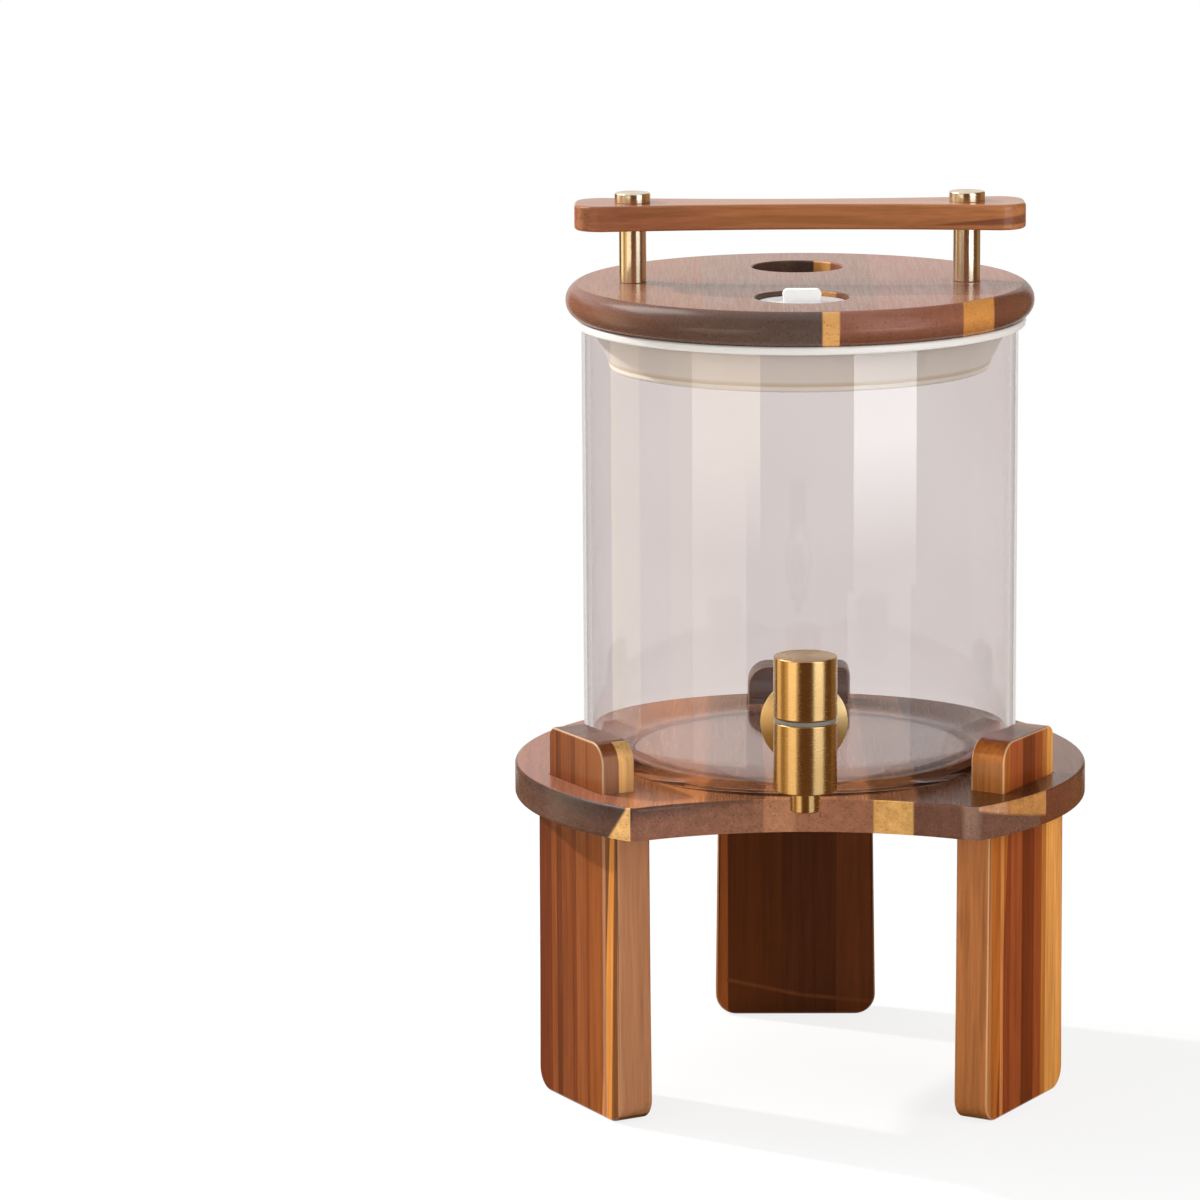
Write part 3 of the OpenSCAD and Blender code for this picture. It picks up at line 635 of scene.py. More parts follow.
bite_sag = math.sqrt(board_r ** 2 - BITE_HALF ** 2) - BITE_MID
bite_r = (BITE_HALF ** 2 + bite_sag ** 2) / (2 * bite_sag)
bite_out = BITE_MID + bite_r
hub_out = board_r - BITE_CORNER
cosine = (bite_out ** 2 + hub_out ** 2 - (bite_r + BITE_CORNER) ** 2) / (2 * bite_out * hub_out)
hub_turn = math.acos(cosine)
hub = hub_out * Vector((math.sin(hub_turn), -math.cos(hub_turn)))
to_bite = math.degrees(math.atan2(-bite_out - hub.y, -hub.x))
to_rim = math.degrees(hub_turn) - 90
board_line = (arc(hub, BITE_CORNER, to_bite, to_rim, CORNER_STEPS)
              + arc((0, 0), board_r, to_rim, 180 - to_rim, RIM_STEPS)[1:-1]
              + arc((-hub.x, hub.y), BITE_CORNER, 180 - to_rim, 180 - to_bite, CORNER_STEPS)
              + arc((0, -bite_out), bite_r, -to_bite, 180 + to_bite, BITE_STEPS)[1:-1])


def mortise(angle, front):
    near, far = leg_in - MORTISE_ROOM, leg_in + leg_t + MORTISE_ROOM
    low, high = sorted((front * (STUB_FRONT + MORTISE_ROOM), -front * (STUB_BACK + MORTISE_ROOM)))
    turn = Matrix.Rotation(math.radians(angle), 2)
    return [turn @ Vector(spot) for spot in ((near, low), (near, high), (far, high), (far, low))]


board_half_t = size("stand_board").z / 2 / mm
board_wood = acacia(
    "acacia_stand_board", axis + up * middle("stand_board").z, FRONT_TO_BACK,
    [(-119, "#563C33", "#5C4034"), (-69.9, "#8A5B48", "#8E5F49"), (-34, "#8E6048"), (-15.8, "#AA7554"),
     (-3.6, "#986449"), (28.5, "#DDA65E"), (44, "#6E4636"), (64, "#6E4B3B"), (96, "#6C3A25"), (119, "")],
    # The first three streaks darken the upper part of the left edge: painted shade
    [("depth", "across", (-8, 0, 0.1), (29.4, 0.325, 3), -119, -95, "#473732"),
     ("depth", "across", (-8, 0, 0.1), (-1.5, 0, 3), -95, -69, "#473732"),
     ("depth", "across", (-8, 0, 0.1), (-8, -0.075, 3), -69, -20, "#5C4136"),
     ("across", "depth", (-75.1, -0.55, 0.6), (-69.9, 0, 0.1), -7, 7, "#E6B06C"),
     ("across", "depth", (64, 0, 1), (70, 0, 1.5), -7, 7, "#8E6A58"),
     ("depth", "across", (-8, 0, 0.1), (-25.4, 0.285, 0.7), 70, 82, "#C08A64"),
     ("depth", "across", (-8, 0, 0.1), (-25.4, 0.285, 0.7), 82, 98.8, "#B27A42")],
    # The top's staves are partly real stave tones and partly painted light and shade: the lit front left is a lighter
    # orange, a stave darkens into the shadow beside the left stub, and the staves right of the tap are darker where
    # the jar and the right stub would cast shadow.
    (board_half_t - FACE_MM, [(-119, "#8E5A45"), (-70, "#AE6C3E"), (-39, "#855231", "#6E4429"), (-15, "#A56D44"),
                              (13, "#95613F"), (27, "#6E4222"), (46, "#482812"), (96, "#6A4634"), (119, "")]),
    lively=0.55, rough=0.23)
mortises = [(mortise(*spot), MORTISE_EDGE, 0) for spot in LEG_PLACES.values()]
piece("stand_board_wood", plank([(board_line, BOARD_EDGE, 0)] + mortises, board_low.z, board_high.z),
      board_wood, "stand", ["stand_board"], moved_to(axis))

# %% [markdown]
# ## The legs
# Each leg is a plank, a little wider at the foot, with two shoulders that carry the board and a tenon that comes
# up through it as a stub beside the jar. All three are sawn from one pattern, so one outline serves, turned over for
# the right-hand leg, because the tenon is set back. A turn round the jar's axis puts each where it belongs. The grain
# runs upright, and each leg is cut from other staves.

# %% Legs
LEG_TOP_W = 66.4 * mm
LEG_FOOT_ROUND = 9 * mm
STUB_ROUND = 9 * mm
STUB_BACK_ROUND = 4.5 * mm
STUB_FROM = 130
SHOULDER_ROUND = 0.3 * mm
LEG_EDGE = 1.1 * mm

foot_half = (leg_high.x - leg_low.x) / 2
# Each leg's arris highlight is a pale line painted along its edges, stronger on the stub above STUB_FROM
LEG_WOODS = {
    "leg_front_left": dict(
        staves=[(-36, "#A26E4C"), (-32.5, "#6C4022"), (-22, "#854822"), (-9, "#763B1C"), (-6.5, "#834826"),
                (1.9, "#6A351B"), (5.5, "#7A4022"), (13.9, "#61311B"), (18.5, "#7C4122"), (23, "#66301B"), (36, "")],
        streaks=[("across", "along", (-27, -0.03, 0.5), (-19, -0.066, 0.3), -1, 122, "#C8803A"),
                 ("across", "depth", (-23, 0, 0.2), (-20.3, 0, 0.2), 0, 8, "#A06E50"),
                 ("across", "depth", (-23, 0, 0.2), (-15, 0, 0.2), -8, 0, "#EDB873")],
        lively=0.55, end_tone=0.55, arris_highlight=(STUB_FROM, 0.12, 0.58)),
    "leg_front_right": dict(
        staves=[(-36, "#D9934A"), (-18, "#B06A2C"), (-14, "#90441D"), (-7, "#6C2C10"), (4, "#924620"),
                (15.5, "#A85C22"), (31, "#AE6C3B"), (36, "")],
        streaks=[("across", "along", (14, 0, 0.2), (25.7, -0.075, 0.3), -1, 122, "#84391A"),
                 ("across", "depth", (20.3, 0, 0.2), (23, 0, 0.2), -8, 8, "#BE773D")],
        lively=0.7, end_tone=0.42, arris_highlight=(STUB_FROM, 0.4, 0.5)),
    "leg_rear": dict(
        staves=[(-36, "#7C4014", "#924E22"), (-29.5, "#54290F"), (-6, "#4C2612"), (18, "#5C2F16"), (36, "")],
        # Two streaks make a thin light line across the leg: a painted highlight along the edge of a shadow
        streaks=[("along", "across", (8.5, -0.21, 0.4), (10.1, -0.21, 0.4), -30, 3, "#66371A"),
                 ("along", "across", (8.2, -0.1, 0.4), (9.8, -0.1, 0.4), 3, 36, "#66371A")],
        lively=0.45, end_tone=0.6, arris_highlight=(STUB_FROM, 0.2, 0.5)),
}


def leg_line(front):
    """The face of a leg, with its front on one side or the other."""
    corners = [
        (foot_half, 0, LEG_FOOT_ROUND), (LEG_TOP_W / 2, board_low.z, SHOULDER_ROUND),
        (STUB_FRONT, board_low.z, SHOULDER_ROUND), (STUB_FRONT, leg_high.z, STUB_ROUND),
        (-STUB_BACK, leg_high.z, STUB_BACK_ROUND), (-STUB_BACK, board_low.z, SHOULDER_ROUND),
        (-LEG_TOP_W / 2, board_low.z, SHOULDER_ROUND), (-foot_half, 0, LEG_FOOT_ROUND)]
    return eased([(front * x, z, radius) for x, z, radius in corners][::front])


for name, (angle, front) in LEG_PLACES.items():
    spin = Matrix.Rotation(math.radians(angle), 4, "Z")
    centre = axis + spin @ Vector((leg_in + leg_t / 2, 0, 0))
    wood = acacia("acacia_" + name, centre, Euler((0, 0, math.radians(90 - angle))), **LEG_WOODS[name])
    upright = Matrix(((0, 0, 1, leg_in), (1, 0, 0, 0), (0, 1, 0, 0), (0, 0, 0, 1)))
    piece(name + "_wood", plank([(leg_line(front), LEG_EDGE, 0)], 0, leg_t), wood, "stand", [name],
          moved_to(axis) @ spin @ upright)

# %% [markdown]
# ## The jar
# A straight glass cylinder with a heavy bottom, a rounded heel and a fire-polished rim. Glass shows every facet, so
# the section is swept in many steps with true arcs at the heel and the rim, and the wall is a closed solid, because
# light has to bend once going in and once coming out. A Boolean drills the hole for the tap's shank.

# %% Glass jar
JAR_WALL = 3.5 * mm
JAR_BASE = 5 * mm
JAR_HEEL = 15 * mm
JAR_COVE = 11 * mm
JAR_RIM = 1.2 * mm
GLASS_HOLE_R = 6.3 * mm
GLASS_STEPS, GLASS_ARC_STEPS, DRILL_STEPS = 288, 14, 64
HOLE_BAND = 9 * mm
JAR_DISH = 0.8 * mm
FOOT_RING_R = 70 * mm

jar_low, jar_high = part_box("glass_jar")
jar_r = size("glass_jar").x / 2
jar_in_r = jar_r - JAR_WALL
hole_band = [shank_z - HOLE_BAND, shank_z + HOLE_BAND]
jar_section = eased([
    (0, jar_low.z + JAR_DISH, 0), (FOOT_RING_R - JAR_DISH, jar_low.z + JAR_DISH, JAR_DISH),
    (FOOT_RING_R, jar_low.z, 0), (jar_r, jar_low.z, JAR_HEEL),
    *[(jar_r, height, 0) for height in hole_band], (jar_r, jar_high.z, JAR_RIM), (jar_in_r, jar_high.z, JAR_RIM),
    *[(jar_in_r, height, 0) for height in reversed(hole_band)], (jar_in_r, jar_low.z + JAR_BASE, JAR_COVE),
    (0, jar_low.z + JAR_BASE, 0),
], closed=False, steps=GLASS_ARC_STEPS)
jar = shaped("jar_glass", turning(jar_section, GLASS_STEPS), jar_glass, moved_to(axis))
to_front = Matrix.Rotation(math.pi / 2, 4, "X")
drill_line = [(0, 0), (GLASS_HOLE_R, 0), (GLASS_HOLE_R, jar_r), (0, jar_r)]
drill_place = moved_to(axis + up * shank_z - Vector((0, jar_in_r / 2, 0))) @ to_front
carved(jar, shaped("drill", turning(drill_line, DRILL_STEPS), jar_glass, drill_place), "DIFFERENCE")
seat(jar, "jar", ["glass_jar"])
print("jar", round(2 * jar_r / mm), "mm across, hole", 2 * GLASS_HOLE_R / mm, "mm")

# %% [markdown]
# ## The tap
# The barrel, knob and nozzle are plain brass turnings with their edges just broken, because a sharp turned edge
# would cut a hand. The grey ring between barrel and knob keeps brass off brass. Each is a section with small rounds
# swept round the tap's axis. The round plate behind the tap is swept round the shank's axis instead.

# %% Tap barrel, nozzle, knob, ring and plate
# How far a turned edge is broken: hardly, a little, enough to feel, or rounded
FINE, BROKEN, SOFT, ROUNDED = 0.1 * mm, 0.2 * mm, 0.3 * mm, 0.4 * mm
RUNNING_ROOM = 0.1 * mm
TAP_EDGE = 0.6 * mm
NOZZLE_EDGE = 0.5 * mm
OUTLET_R = 4 * mm
KNOB_WALL = 1.8 * mm
KNOB_HOLLOW = 9.3 * mm
CORE_BORE_R = 7 * mm
SEAT_ABOVE = 8.8 * mm
SPIGOT_H = 8 * mm
SPIGOT_R = 8.6 * mm
PLATE_EDGE = 0.4 * mm
PLATE_DOME = 1.9 * mm
PLATE_HOLE_R = 6.1 * mm
PLATE_RIM = 0.25 * mm
DOME_STEPS = 16
NOZZLE_SPIGOT = 5.9 * mm

tap_r = size("tap_knob").x / 2
barrel_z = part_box("tap_nozzle")[1].z - NOZZLE_SPIGOT
barrel_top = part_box("glide_ring")[0].z
knob_low, knob_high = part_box("tap_knob")
nozzle_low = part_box("tap_nozzle")[0].z
nozzle_r = size("tap_nozzle").x / 2
ring_low, ring_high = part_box("glide_ring")
ring_r = size("glide_ring").x / 2
plate_r = size("escutcheon").x / 2
plate_t = size("escutcheon").y
plate_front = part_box("escutcheon")[0].y

piece("tap_barrel", turning(eased([
    (OUTLET_R, barrel_z, BROKEN), (tap_r, barrel_z, TAP_EDGE), (tap_r, barrel_top, TAP_EDGE),
    (SPIGOT_R, barrel_top, BROKEN), (SPIGOT_R, barrel_top + SPIGOT_H, ROUNDED),
    (CORE_BORE_R, barrel_top + SPIGOT_H, BROKEN), (CORE_BORE_R, barrel_z + SEAT_ABOVE, BROKEN),
    (OUTLET_R, barrel_z + SEAT_ABOVE, BROKEN)])), tap_brass, "jar", ["tap_body"], moved_to(tap))
piece("nozzle_brass", turning(eased([
    (OUTLET_R, nozzle_low, NOZZLE_EDGE), (nozzle_r, nozzle_low, NOZZLE_EDGE), (nozzle_r, barrel_z, FINE),
    (OUTLET_R, barrel_z, FINE)])), tap_brass, "jar", ["tap_nozzle"], moved_to(tap))
ring_in_r = SPIGOT_R + RUNNING_ROOM
piece("glide_ring_acetal", turning(eased([
    (ring_in_r, ring_low.z, BROKEN), (ring_r, ring_low.z, SOFT), (ring_r, ring_high.z, SOFT),
    (ring_in_r, ring_high.z, BROKEN)])), acetal, "jar", ["glide_ring"], moved_to(tap))
piece("knob_brass", turning(eased([
    (0, knob_low.z + KNOB_HOLLOW, 0), (tap_r - KNOB_WALL, knob_low.z + KNOB_HOLLOW, SOFT),
    (tap_r - KNOB_WALL, knob_low.z, SOFT), (tap_r, knob_low.z, TAP_EDGE), (tap_r, knob_high.z, TAP_EDGE),
    (0, knob_high.z, 0)], closed=False)), tap_brass, "knob", ["tap_knob"], moved_to(tap))
plate_spot = Vector((tap.x, plate_front + plate_t, shank_z))
dome_r = (plate_r ** 2 + PLATE_DOME ** 2) / (2 * PLATE_DOME)
dome_out = plate_r - PLATE_EDGE
dome_run = [dome_out - (dome_out - PLATE_HOLE_R) * i / DOME_STEPS for i in range(DOME_STEPS + 1)]
dome = [(out, plate_t - dome_r + math.sqrt(dome_r ** 2 - out ** 2), 0) for out in dome_run]
piece("plate_brass", turning(eased([
    (PLATE_HOLE_R, 0, FINE), (plate_r, 0, BROKEN), (plate_r, plate_t - PLATE_DOME, PLATE_RIM), *dome])),
    plate_brass, "jar", ["escutcheon"], moved_to(plate_spot) @ to_front)

# %% [markdown]
# ## The shank and its thread
# Behind the plate a turned neck joins the barrel to a threaded shank, which passes through the glass and takes a
# nut inside the jar. The thread is a ridge that follows a helix. It could be a stack of rings, but rings don't
# screw in, so Geometry Nodes sweep a small triangle along a spiral, with the pitch and length as named inputs.

# %% Shank, thread and nut
NECK_R = 5 * mm
COLLAR_R = 8 * mm
COLLAR_T = 3 * mm
SHANK_R = 6 * mm
THREAD_PITCH = 1.5 * mm
THREAD_DEPTH = 0.55 * mm
THREAD_STEPS, THREAD_SIDES = 48, 3
NUT_SIDES = 6
NUT_AF = 19 * mm
NUT_EDGE = 0.5 * mm
NUT_HOLE_STEPS = 48
SHANK_STEPS = 96
SHANK_BORE_R = 3 * mm
BORE_FROM = 4 * mm
NECK_SUNK = 2 * mm

shank_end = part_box("tap_body")[1].y
nut_low, nut_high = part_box("shank_nut")
neck_y = tap.y + tap_r - NECK_SUNK
thread_core = SHANK_R - THREAD_DEPTH
collar_from, collar_to, shank_long = plate_front - COLLAR_T - neck_y, plate_front - neck_y, shank_end - neck_y
shank_section = eased([
    (0, 0, 0), (NECK_R, 0, BROKEN), (NECK_R, collar_from, SOFT), (COLLAR_R, collar_from, ROUNDED),
    (COLLAR_R, collar_to, BROKEN), (thread_core, collar_to, FINE), (thread_core, shank_long, ROUNDED),
    (SHANK_BORE_R, shank_long, BROKEN), (SHANK_BORE_R, BORE_FROM, BROKEN), (0, BORE_FROM, 0)], closed=False)
to_back = Matrix.Rotation(-math.pi / 2, 4, "X")
piece("tap_shank", turning(shank_section, SHANK_STEPS), plate_brass, "jar", ["tap_body"],
      moved_to(Vector((tap.x, neck_y, shank_z))) @ to_back)


def node_tree(name, sizes):
    """An empty Geometry Nodes tree with named sizes as inputs."""
    tree = bpy.data.node_groups.new(name, "GeometryNodeTree")
    tree.interface.new_socket("Geometry", in_out="OUTPUT", socket_type="NodeSocketGeometry")
    sockets = {}
    for label, kind in sizes.items():
        socket = tree.interface.new_socket(label, in_out="INPUT", socket_type="NodeSocket" + kind)
        sockets[label] = socket.identifier
    return tree, sockets, add(tree, "NodeGroupInput")


def grown(name, tree, sockets, values, body, slot, stands_for, place):
    """Runs a tree on an empty mesh, keeps what it makes as a plain mesh, and seats that in the frame."""
    made = in_scene(name, bpy.data.meshes.new(name))
    grow = made.modifiers.new("grow", "NODES")
    grow.node_group = tree
    for label, value in values.items():
        grow[sockets[label]] = value
    settle(made)
    made.data.transform(place)
    seat(made, body, stands_for)


def thread_tree(material):
    tree, sockets, sizes = node_tree("screw_thread", {"Radius": "Float", "Depth": "Float", "Pitch": "Float",
                                                      "Length": "Float"})
    turns = add(tree, "ShaderNodeMath", [sizes.outputs["Length"], sizes.outputs["Pitch"]], operation="DIVIDE")
    helix = add(tree, "GeometryNodeCurveSpiral", {
        "Resolution": THREAD_STEPS, "Rotations": turns, "Start Radius": sizes.outputs["Radius"],
        "End Radius": sizes.outputs["Radius"], "Height": sizes.outputs["Length"]})
    ridge = add(tree, "GeometryNodeCurvePrimitiveCircle", {
        "Resolution": THREAD_SIDES, "Radius": sizes.outputs["Depth"]})
    swept = add(tree, "GeometryNodeCurveToMesh", {0: helix, 1: ridge, "Fill Caps": True})
    real = add(tree, "GeometryNodeRealizeInstances", [swept])
    dressed = add(tree, "GeometryNodeSetMaterial", {"Geometry": real, "Material": material})
    add(tree, "NodeGroupOutput", [dressed])
    return tree, sockets


thread_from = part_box("inner_washer")[0].y
grown("shank_thread", *thread_tree(plate_brass),
      {"Radius": thread_core, "Depth": THREAD_DEPTH, "Pitch": THREAD_PITCH,
       "Length": shank_end - thread_from - 2 * THREAD_DEPTH},
      "jar", "brass", ["tap_body"], moved_to(Vector((tap.x, thread_from + THREAD_DEPTH, shank_z))) @ to_back)

nut_line = ring_line(NUT_AF / 2 / math.cos(math.pi / NUT_SIDES), NUT_SIDES)
nut_hole = ring_line(SHANK_R + RUNNING_ROOM, NUT_HOLE_STEPS, way=-1)
piece("shank_nut_brass", plank([(nut_line, NUT_EDGE, 0), (nut_hole, ROUNDED, 0)], 0, nut_high.y - nut_low.y),
      plate_brass, "jar", ["shank_nut"], moved_to(Vector((tap.x, nut_low.y, shank_z))) @ to_back)

# %% [markdown]
# ## The seal
# A soft white seal is what makes the lid airtight: a thin flange that lies on the glass rim and rolls a little over
# its edge, and a tapered skirt with a rounded lip that plugs the jar's mouth. It is moulded in one, so it is one
# turned section. The skirt is creamier than the flange, and painted shade darkens the fold above the lip and the band
# under the rim, so the tone changes with the height.

# %% Lid seal
SEAL_GAP = 0.4 * mm
SEAL_TAPER = 7.4 * mm
LIP_T = 2.6 * mm
ROLL_DROP = 1.2 * mm
ROLL_GAP = 0.3 * mm
ROLL_ROUND = 1.2 * mm
SEAL_ROUND = 0.6 * mm
LIP_EDGE = 0.5 * mm
# Left flat between two arcs, so that they don't meet in a point
ARC_ROOM = 0.05 * mm

seal_low, seal_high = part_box("lid_seal")
flange_r = size("lid_seal").x / 2
flange_t = seal_high.z - jar_high.z
skirt_r = jar_in_r - SEAL_GAP
lip_r = skirt_r - SEAL_TAPER
seal_in_r = size("lid_boss").x / 2 + RUNNING_ROOM
roll_in_r, roll_z = jar_r + ROLL_GAP, jar_high.z - ROLL_DROP
lip_top_mm, rim_mm = (seal_low.z + LIP_T) / mm, jar_high.z / mm
# The lip's edge, the painted shade in the fold above it, the skirt, the painted shade under the rim and the flange
seal_silicone = moulded("moulded_seal_silicone", [
    (seal_low.z / mm - 1, "#FFFAEE"), (lip_top_mm - 0.3, "#E4D2AE", "#F6ECDC"), (lip_top_mm + 1.6, "#FFF9EE"),
    (rim_mm - 3, "#FFF9EE", "#DAD6D1"), (rim_mm - 1.3, "#DAD6D1"), (seal_high.z / mm + 1, "")], 0.42)
piece("lid_seal_silicone", turning(eased([
    (seal_in_r, seal_low.z, SEAL_ROUND), (lip_r, seal_low.z, LIP_T / 2 - ARC_ROOM),
    (lip_r, seal_low.z + LIP_T, LIP_EDGE), (skirt_r, jar_high.z, SEAL_ROUND), (roll_in_r, jar_high.z, BROKEN),
    (roll_in_r, roll_z, LIP_EDGE), (flange_r, roll_z, ROLL_ROUND), (flange_r, seal_high.z, flange_t / 2 - ARC_ROOM),
    (seal_in_r, seal_high.z, BROKEN)])), seal_silicone, "lid", ["lid_seal"], moved_to(axis))

# %% [markdown]
# ## The lid
# The lid is a round board like the stand's, with a full bullnose: its edge is half a circle from top to bottom. Two
# round holes, one in front of the handle and one behind, have their edges only lightly broken. The plank function does
# both, because each outline has an edge radius of its own.

# %% Lid board
PLUG_GAP = 0.3 * mm
HOLE_EDGE = 0.9 * mm
NOSE_ARRIS = math.radians(20)
NOSE_FLAT = 0.01 * mm
NOSE_SHARP = 14
LID_STEPS, HOLE_STEPS = 288, 96

lid_low, lid_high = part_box("lid_board")
lid_r = size("lid_board").x / 2
lid_t = lid_high.z - lid_low.z
plug_mid = middle("hole_plug")
hole_r = size("hole_plug").x / 2 + PLUG_GAP
hole_out = axis.y - plug_mid.y
nose_r = (lid_t / 2 - NOSE_FLAT) / math.cos(NOSE_ARRIS)
nose = (ring_line(lid_r, LID_STEPS), nose_r, NOSE_ARRIS)
holes = [(ring_line(hole_r, HOLE_STEPS, (0, side * hole_out), -1), HOLE_EDGE, 0) for side in (-1, 1)]
lid_wood = acacia(
    "acacia_lid", axis + up * middle("lid_board").z, FRONT_TO_BACK,
    [(-97, "#784D3B", "#5A4034"), (-50, "#5E4337", "#5B4A42"), (7, "#D89F5D"), (14, "#8C5844"), (64, "#CC8A46"),
     (77, "#6F4230"), (97, "")],
    # These three streaks darken the lower half of the nose on the right: painted shade where the edge turns from the
    # light
    [("depth", "across", (2, 0, 3), (9, 0, 0.1), 14, 64, "#6B402C"),
     ("depth", "across", (2, 0, 3), (9, 0, 0.1), 64, 77, "#A86A30"),
     ("depth", "across", (2, 0, 3), (9, 0, 0.1), 77, 97, "#562C1D")],
    face=(lid_t / 2 / mm - FACE_MM, [(-97, "#8E5F47"), (-40, "#87604F"), (30, "#966452"), (97, "")]),
    lively=0.22, rough=0.23)
piece("lid_board_wood", plank([nose] + holes, lid_low.z, lid_high.z), lid_wood, "lid", ["lid_board"],
      moved_to(axis), NOSE_SHARP)

# %% [markdown]
# ## The plug
# A white silicone plug closes the lid's front hole. It is a stepped disc that rests on a ledge in the hole, with a
# flat tab to pull. The disc is turned and the tab is a small plank stood on edge, then a Boolean makes them one
# moulding.

# %% Hole plug
PLUG_TAB_H = 5.4 * mm
TAB_W = 16.2 * mm
TAB_ROOT_W = 14.8 * mm
TAB_T = 3.6 * mm
TAB_ROUND = 2.2 * mm
TAB_EDGE = 0.7 * mm
TAB_SUNK = 1 * mm
PLUG_STEP = 2 * mm
PLUG_FOOT_ROUND = 1.2 * mm
PLUG_TOP_ROUND = 0.8 * mm
PLUG_STEPS = 128

plug_low, plug_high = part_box("hole_plug")
plug_r = size("hole_plug").x / 2
plug_top = plug_high.z - PLUG_TAB_H
plug_spot = Vector((plug_mid.x, plug_mid.y, 0))
plug = shaped("hole_plug_silicone", turning(eased([
    (0, plug_low.z, 0), (plug_r - PLUG_STEP, plug_low.z, PLUG_FOOT_ROUND), (plug_r - PLUG_STEP, lid_low.z, SOFT),
    (plug_r, lid_low.z, SOFT), (plug_r, plug_top, PLUG_TOP_ROUND), (0, plug_top, 0)], closed=False), PLUG_STEPS),
    silicone, moved_to(plug_spot))
tab_line = eased([(-TAB_ROOT_W / 2, -TAB_SUNK, 0), (TAB_ROOT_W / 2, -TAB_SUNK, 0), (TAB_W / 2, PLUG_TAB_H, TAB_ROUND),
                  (-TAB_W / 2, PLUG_TAB_H, TAB_ROUND)])
tab_place = moved_to(plug_spot + Vector((0, TAB_T / 2, plug_top))) @ to_front
carved(plug, shaped("pull_tab", plank([(tab_line, TAB_EDGE, 0)], 0, TAB_T), silicone, tab_place), "UNION")
seat(plug, "plug", ["hole_plug"])
print("plug", round(2 * plug_r / mm, 1), "mm across")

# %% [markdown]
# ## The handle
# A flat bar, wide at its ends and narrow in the middle where the hand holds it, on two brass posts. Two long shallow
# arcs draw its waist, and its four corners are round. Brass cap screws go down through it into the posts. The grain
# runs from end to end, where the strength is needed.

# %% Handle, posts and caps
HANDLE_WAIST = 21 * mm
HANDLE_ROUND = 11 * mm
HANDLE_EDGE = 1.4 * mm
CAP_EDGE = 0.6 * mm
POST_BORE_R = 2.6 * mm
CAP_SHANK_R = 2.5 * mm
WAIST_STEPS = 40

bar_low, bar_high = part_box("lid_handle")
corner_x = (bar_high.x - bar_low.x) / 2 - HANDLE_ROUND
corner_y = (bar_high.y - bar_low.y) / 2 - HANDLE_ROUND
waist_step = HANDLE_WAIST / 2 - corner_y
waist_r = (corner_x ** 2 + waist_step ** 2 - HANDLE_ROUND ** 2) / (2 * (HANDLE_ROUND - waist_step))
waist_y = HANDLE_WAIST / 2 + waist_r
lean = math.degrees(math.atan2(waist_y - corner_y, corner_x))
bar_line = []
for quarter_x, quarter_y, start in ((corner_x, corner_y, 0), (-corner_x, -corner_y, 180)):
    side = 1 if start == 0 else -1
    bar_line += arc((quarter_x, quarter_y), HANDLE_ROUND, start, start + 180 - lean, EDGE_STEPS)
    bar_line += arc((0, side * waist_y), waist_r, start + 360 - lean, start + 180 + lean, WAIST_STEPS)[1:-1]
    bar_line += arc((-quarter_x, quarter_y), HANDLE_ROUND, start + lean, start + 180, EDGE_STEPS)
handle_wood = acacia(
    "acacia_handle", middle("lid_handle"), SIDE_TO_SIDE,
    [(-17, "#A56A42", "#9E653E"), (17, "")],
    [("along", "across", (-95, 0, 1), (-45, 0, 25), -20, 20, "#935A3E"),
     ("depth", "along", (-4.4, 0.018, 0.4), (-8.9, 0.107, 0.4), 50, 92, "#7A4A33")], lively=0.55)
piece("lid_handle_wood", plank([(bar_line, HANDLE_EDGE, 0)], bar_low.z, bar_high.z),
      handle_wood, "lid", ["lid_handle"], moved_to(axis))

for side in ("left", "right"):
    post, cap = "handle_post_" + side, "handle_cap_" + side
    post_spot = Vector((middle(post).x, middle(post).y, 0))
    post_r, cap_r = size(post).x / 2, size(cap).x / 2
    post_low, post_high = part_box(post)
    cap_low, cap_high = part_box(cap)
    brass = satin_brass("satin_brass_" + side + "_post", post_spot, "Z", 0.24, ("#E4D8BE", "#EEE3CE"))
    piece(post + "_brass", turning(eased([
        (POST_BORE_R, post_low.z, FINE), (post_r, post_low.z, SOFT), (post_r, post_high.z, SOFT),
        (POST_BORE_R, post_high.z, FINE)])), brass, "lid", [post], moved_to(post_spot))
    piece(cap + "_brass", turning(eased([
        (0, cap_low.z, 0), (CAP_SHANK_R, cap_low.z, ROUNDED), (CAP_SHANK_R, bar_high.z, FINE),
        (cap_r, bar_high.z, BROKEN), (cap_r, cap_high.z, CAP_EDGE), (0, cap_high.z, 0)], closed=False)),
        brass, "lid", [cap], moved_to(post_spot))

# %% [markdown]
# ## Screws
# Four screws hold the boss under the lid and two hold the posts from below, each with a crossed recess in its head.
# They could be modelled one by one, but they are one screw set round a circle, four at an eighth turn and two on the
# line of the handle. One tree makes the screw from its sizes and sets copies of it on points round a circle.

# %% Screws
SCREW_SIZES = {"Head radius": "Float", "Head height": "Float", "Shank radius": "Float", "Shank length": "Float",
               "Circle radius": "Float", "Count": "Int", "First angle": "Float"}
HEAD_SIDES, SCREW_SIDES = 48, 32
# How far down the cross is cut, as a share of the head's height
RECESS_DROP = -0.6


